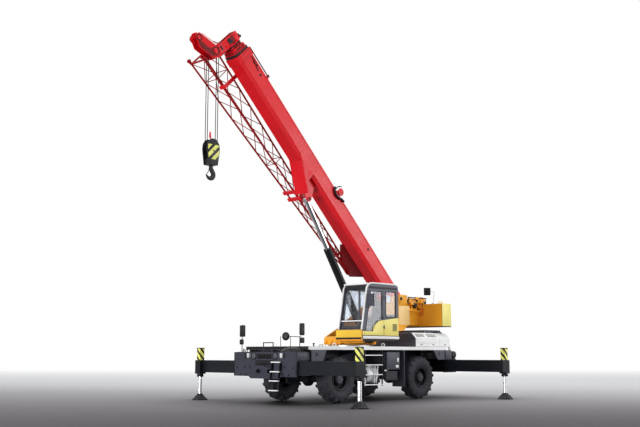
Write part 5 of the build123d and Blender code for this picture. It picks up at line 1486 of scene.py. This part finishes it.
def make_hook():
    """The forged hook: a thick back that narrows to the point."""
    low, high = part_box("hook_block")
    middle = (low.x + high.x) / 2
    rings = list(HOOK_SHANK)
    for angle, wide, thick in HOOK_BOWL:
        reach, turn = HOOK_REACH - wide, math.radians(angle)
        rings.append((reach * math.cos(turn), HOOK_CENTRE + reach * math.sin(turn), wide, thick))
    piece = Piece()
    mesh, loops = piece.mesh, []
    for step, (x, z, wide, thick) in enumerate(rings):
        before, after = rings[max(step - 1, 0)], rings[min(step + 1, len(rings) - 1)]
        slope = math.atan2(after[0] - before[0], after[1] - before[1])
        ends = step in (0, len(rings) - 1)
        ring = bmesh.ops.create_circle(mesh, cap_ends=ends, segments=24, radius=1.0)["verts"]
        place = Matrix.Translation((middle + x, 0, z)) @ Matrix.Rotation(slope, 4, "Y")
        place = place @ Matrix.Diagonal((wide, thick, 1, 1))
        bmesh.ops.transform(mesh, matrix=place, verts=ring)
        loops.append({edge for vert in ring for edge in vert.link_edges if edge.other_vert(vert) in ring})
    for first, second in zip(loops, loops[1:]):
        bmesh.ops.bridge_loops(mesh, edges=list(first | second))
    bmesh.ops.recalc_face_normals(mesh, faces=mesh.faces)
    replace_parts(piece.finish("hook_forging", "hook", "hook_black", cast_black(), smooth=60), "hook")


def make_hook_trim():
    """Cheek plates with striped panels, pins, the limit switch's weight and the latch."""
    low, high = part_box("hook_block")
    x = (low.x + high.x) / 2
    outline = (
        (-0.17, 7.30), (0.17, 7.30), (0.235, 7.78), (0.215, 7.93), (0.14, 8.03),
        (0.05, 8.075), (-0.05, 8.075), (-0.14, 8.03), (-0.215, 7.93), (-0.235, 7.78),
    )
    cheeks = Piece()
    cheeks.sides([(x + dx, z) for dx, z in outline], 0.125, 0.131, 0.003)
    cheeks.finish("hook_cheeks", "hook_block", "hook_black", cast_black())

    panels = Piece()
    panel = ((-0.185, 7.45), (0.185, 7.45), (0.226, 7.78), (0.205, 7.91), (-0.205, 7.91), (-0.226, 7.78))
    panels.sides([(x + dx, z) for dx, z in panel], 0.131, 0.134, 0.001)
    panels.finish("hook_stripe_panels", "hook_block", "hook_black", hook_stripes())

    dark = Piece()
    for way in (-1, 1):
        dark.rod((x, way * 0.131, 7.72), (x, way * 0.142, 7.72), 0.028, 20, 0.003)
        for dx, z in ((-0.12, 7.36), (0.12, 7.36), (0.13, 7.97), (-0.13, 7.97), (0.0, 8.02)):
            dark.bolt((x + dx, way * 0.131, z), (0, way, 0), 0.015)
    for dx, z in ((0.1665, 8.0), (-0.1665, 8.0), (0.126, 7.6), (-0.126, 7.6)):
        dark.rod((x + dx, -0.10, z), (x + dx, 0.10, z), 0.012, 10)
    dark.finish("hook_block_trim", "hook_block", "hook_black", black_paint())

    flag = Piece()
    weight = ((x - 0.02, 8.12), (x + 0.07, 8.15), (x + 0.05, 8.36), (x - 0.01, 8.30))
    flag.slab(weight, -0.03, -0.02, "Y", 0.002)
    flag.rod((x + 0.01, -0.025, 8.02), (x + 0.02, -0.025, 8.14), 0.010, 8)
    flag.finish("limit_switch_weight", "hook_block", "boom_red", boom_paint())

    latch = Piece()
    latch.rod((x, -0.045, 7.163), (x, 0.045, 7.163), 0.054, 20, 0.006)
    tongue = ((x + 0.055, 7.118), (x + 0.075, 7.118), (x + 0.150, 6.998), (x + 0.135, 6.993))
    latch.slab(tongue, -0.012, 0.012, "Y", 0.003)
    latch.finish("hook_latch", "hook", "hook_black", cast_black())


# ---------------------------------------------------------------- the add-on's operators
class CRANE_OT_stage(bpy.types.Operator):
    """Makes the floor, lamps, world and camera"""
    bl_idname = "crane.stage"
    bl_label = "Stage"

    def execute(self, context):
        make_stage()
        return {"FINISHED"}


class CRANE_OT_finishes(bpy.types.Operator):
    """Gives every solid its finish"""
    bl_idname = "crane.finishes"
    bl_label = "Finishes"

    def execute(self, context):
        paint_nodes()
        return {"FINISHED"}


class CRANE_OT_wheels(bpy.types.Operator):
    """Makes the lugged tyres and the wheels' nuts and rings"""
    bl_idname = "crane.wheels"
    bl_label = "Wheels"

    def execute(self, context):
        for end, side in CORNERS:
            make_tyre(end, side)
            make_wheel_trim(end, side)
        return {"FINISHED"}


class CRANE_OT_boom(bpy.types.Operator):
    """Makes the boom's trim, wear-pad frames and head"""
    bl_idname = "crane.boom"
    bl_label = "Boom trim"

    def execute(self, context):
        make_boom_trim()
        make_collars()
        make_head_trim()
        return {"FINISHED"}


class CRANE_OT_jib(bpy.types.Operator):
    """Makes the stowed lattice jib"""
    bl_idname = "crane.jib"
    bl_label = "Lattice jib"

    def execute(self, context):
        make_jib()
        return {"FINISHED"}


class CRANE_OT_cab(bpy.types.Operator):
    """Makes the cab's tubes, panels, seals, mirror and seat"""
    bl_idname = "crane.cab"
    bl_label = "Cab"

    def execute(self, context):
        make_cab_trim()
        make_seat()
        return {"FINISHED"}


class CRANE_OT_upper(bpy.types.Operator):
    """Makes the trim of the turntable, winches and counterweight"""
    bl_idname = "crane.upper"
    bl_label = "Superstructure"

    def execute(self, context):
        make_turntable_trim()
        make_winch_trim()
        make_counterweight_trim()
        return {"FINISHED"}


class CRANE_OT_carrier(bpy.types.Operator):
    """Makes the trim of the deck, front plate, hood and sides"""
    bl_idname = "crane.carrier"
    bl_label = "Carrier"

    def execute(self, context):
        make_deck_trim()
        make_front_trim()
        make_mirrors()
        make_hood_trim()
        make_side_trim()
        make_casing_trim()
        return {"FINISHED"}


class CRANE_OT_outriggers(bpy.types.Operator):
    """Makes the striped necks, bosses and floats"""
    bl_idname = "crane.outriggers"
    bl_label = "Outriggers"

    def execute(self, context):
        for end, side in CORNERS:
            make_outrigger_trim(end, side)
        return {"FINISHED"}


class CRANE_OT_hook(bpy.types.Operator):
    """Makes the hook block's cheek plates, pins and latch"""
    bl_idname = "crane.hook"
    bl_label = "Hook block"

    def execute(self, context):
        make_hook()
        make_hook_trim()
        return {"FINISHED"}


OPERATORS = (
    CRANE_OT_stage,
    CRANE_OT_finishes,
    CRANE_OT_wheels,
    CRANE_OT_boom,
    CRANE_OT_jib,
    CRANE_OT_cab,
    CRANE_OT_upper,
    CRANE_OT_carrier,
    CRANE_OT_outriggers,
    CRANE_OT_hook,
)


class CRANE_PT_panel(bpy.types.Panel):
    """Lists the crane's operators"""
    bl_label = "Crane"
    bl_space_type = "VIEW_3D"
    bl_region_type = "UI"
    bl_category = "Crane"

    def draw(self, context):
        for operator in OPERATORS:
            self.layout.operator(operator.bl_idname)
        for group in (context.scene.crane_sizes, context.scene.crane_colours):
            for name in group.__annotations__:
                self.layout.prop(group, name)


CLASSES = (CraneColours, CraneSizes, *OPERATORS, CRANE_PT_panel)


def register():
    for item in CLASSES:
        bpy.utils.register_class(item)
    bpy.types.Scene.crane_colours = PointerProperty(type=CraneColours)
    bpy.types.Scene.crane_sizes = PointerProperty(type=CraneSizes)


def unregister():
    del bpy.types.Scene.crane_sizes
    del bpy.types.Scene.crane_colours
    for item in reversed(CLASSES):
        bpy.utils.unregister_class(item)


def main():
    register()
    for operator in OPERATORS:
        group, name = operator.bl_idname.split(".")
        getattr(getattr(bpy.ops, group), name)()


if __name__ == "__main__":
    main()
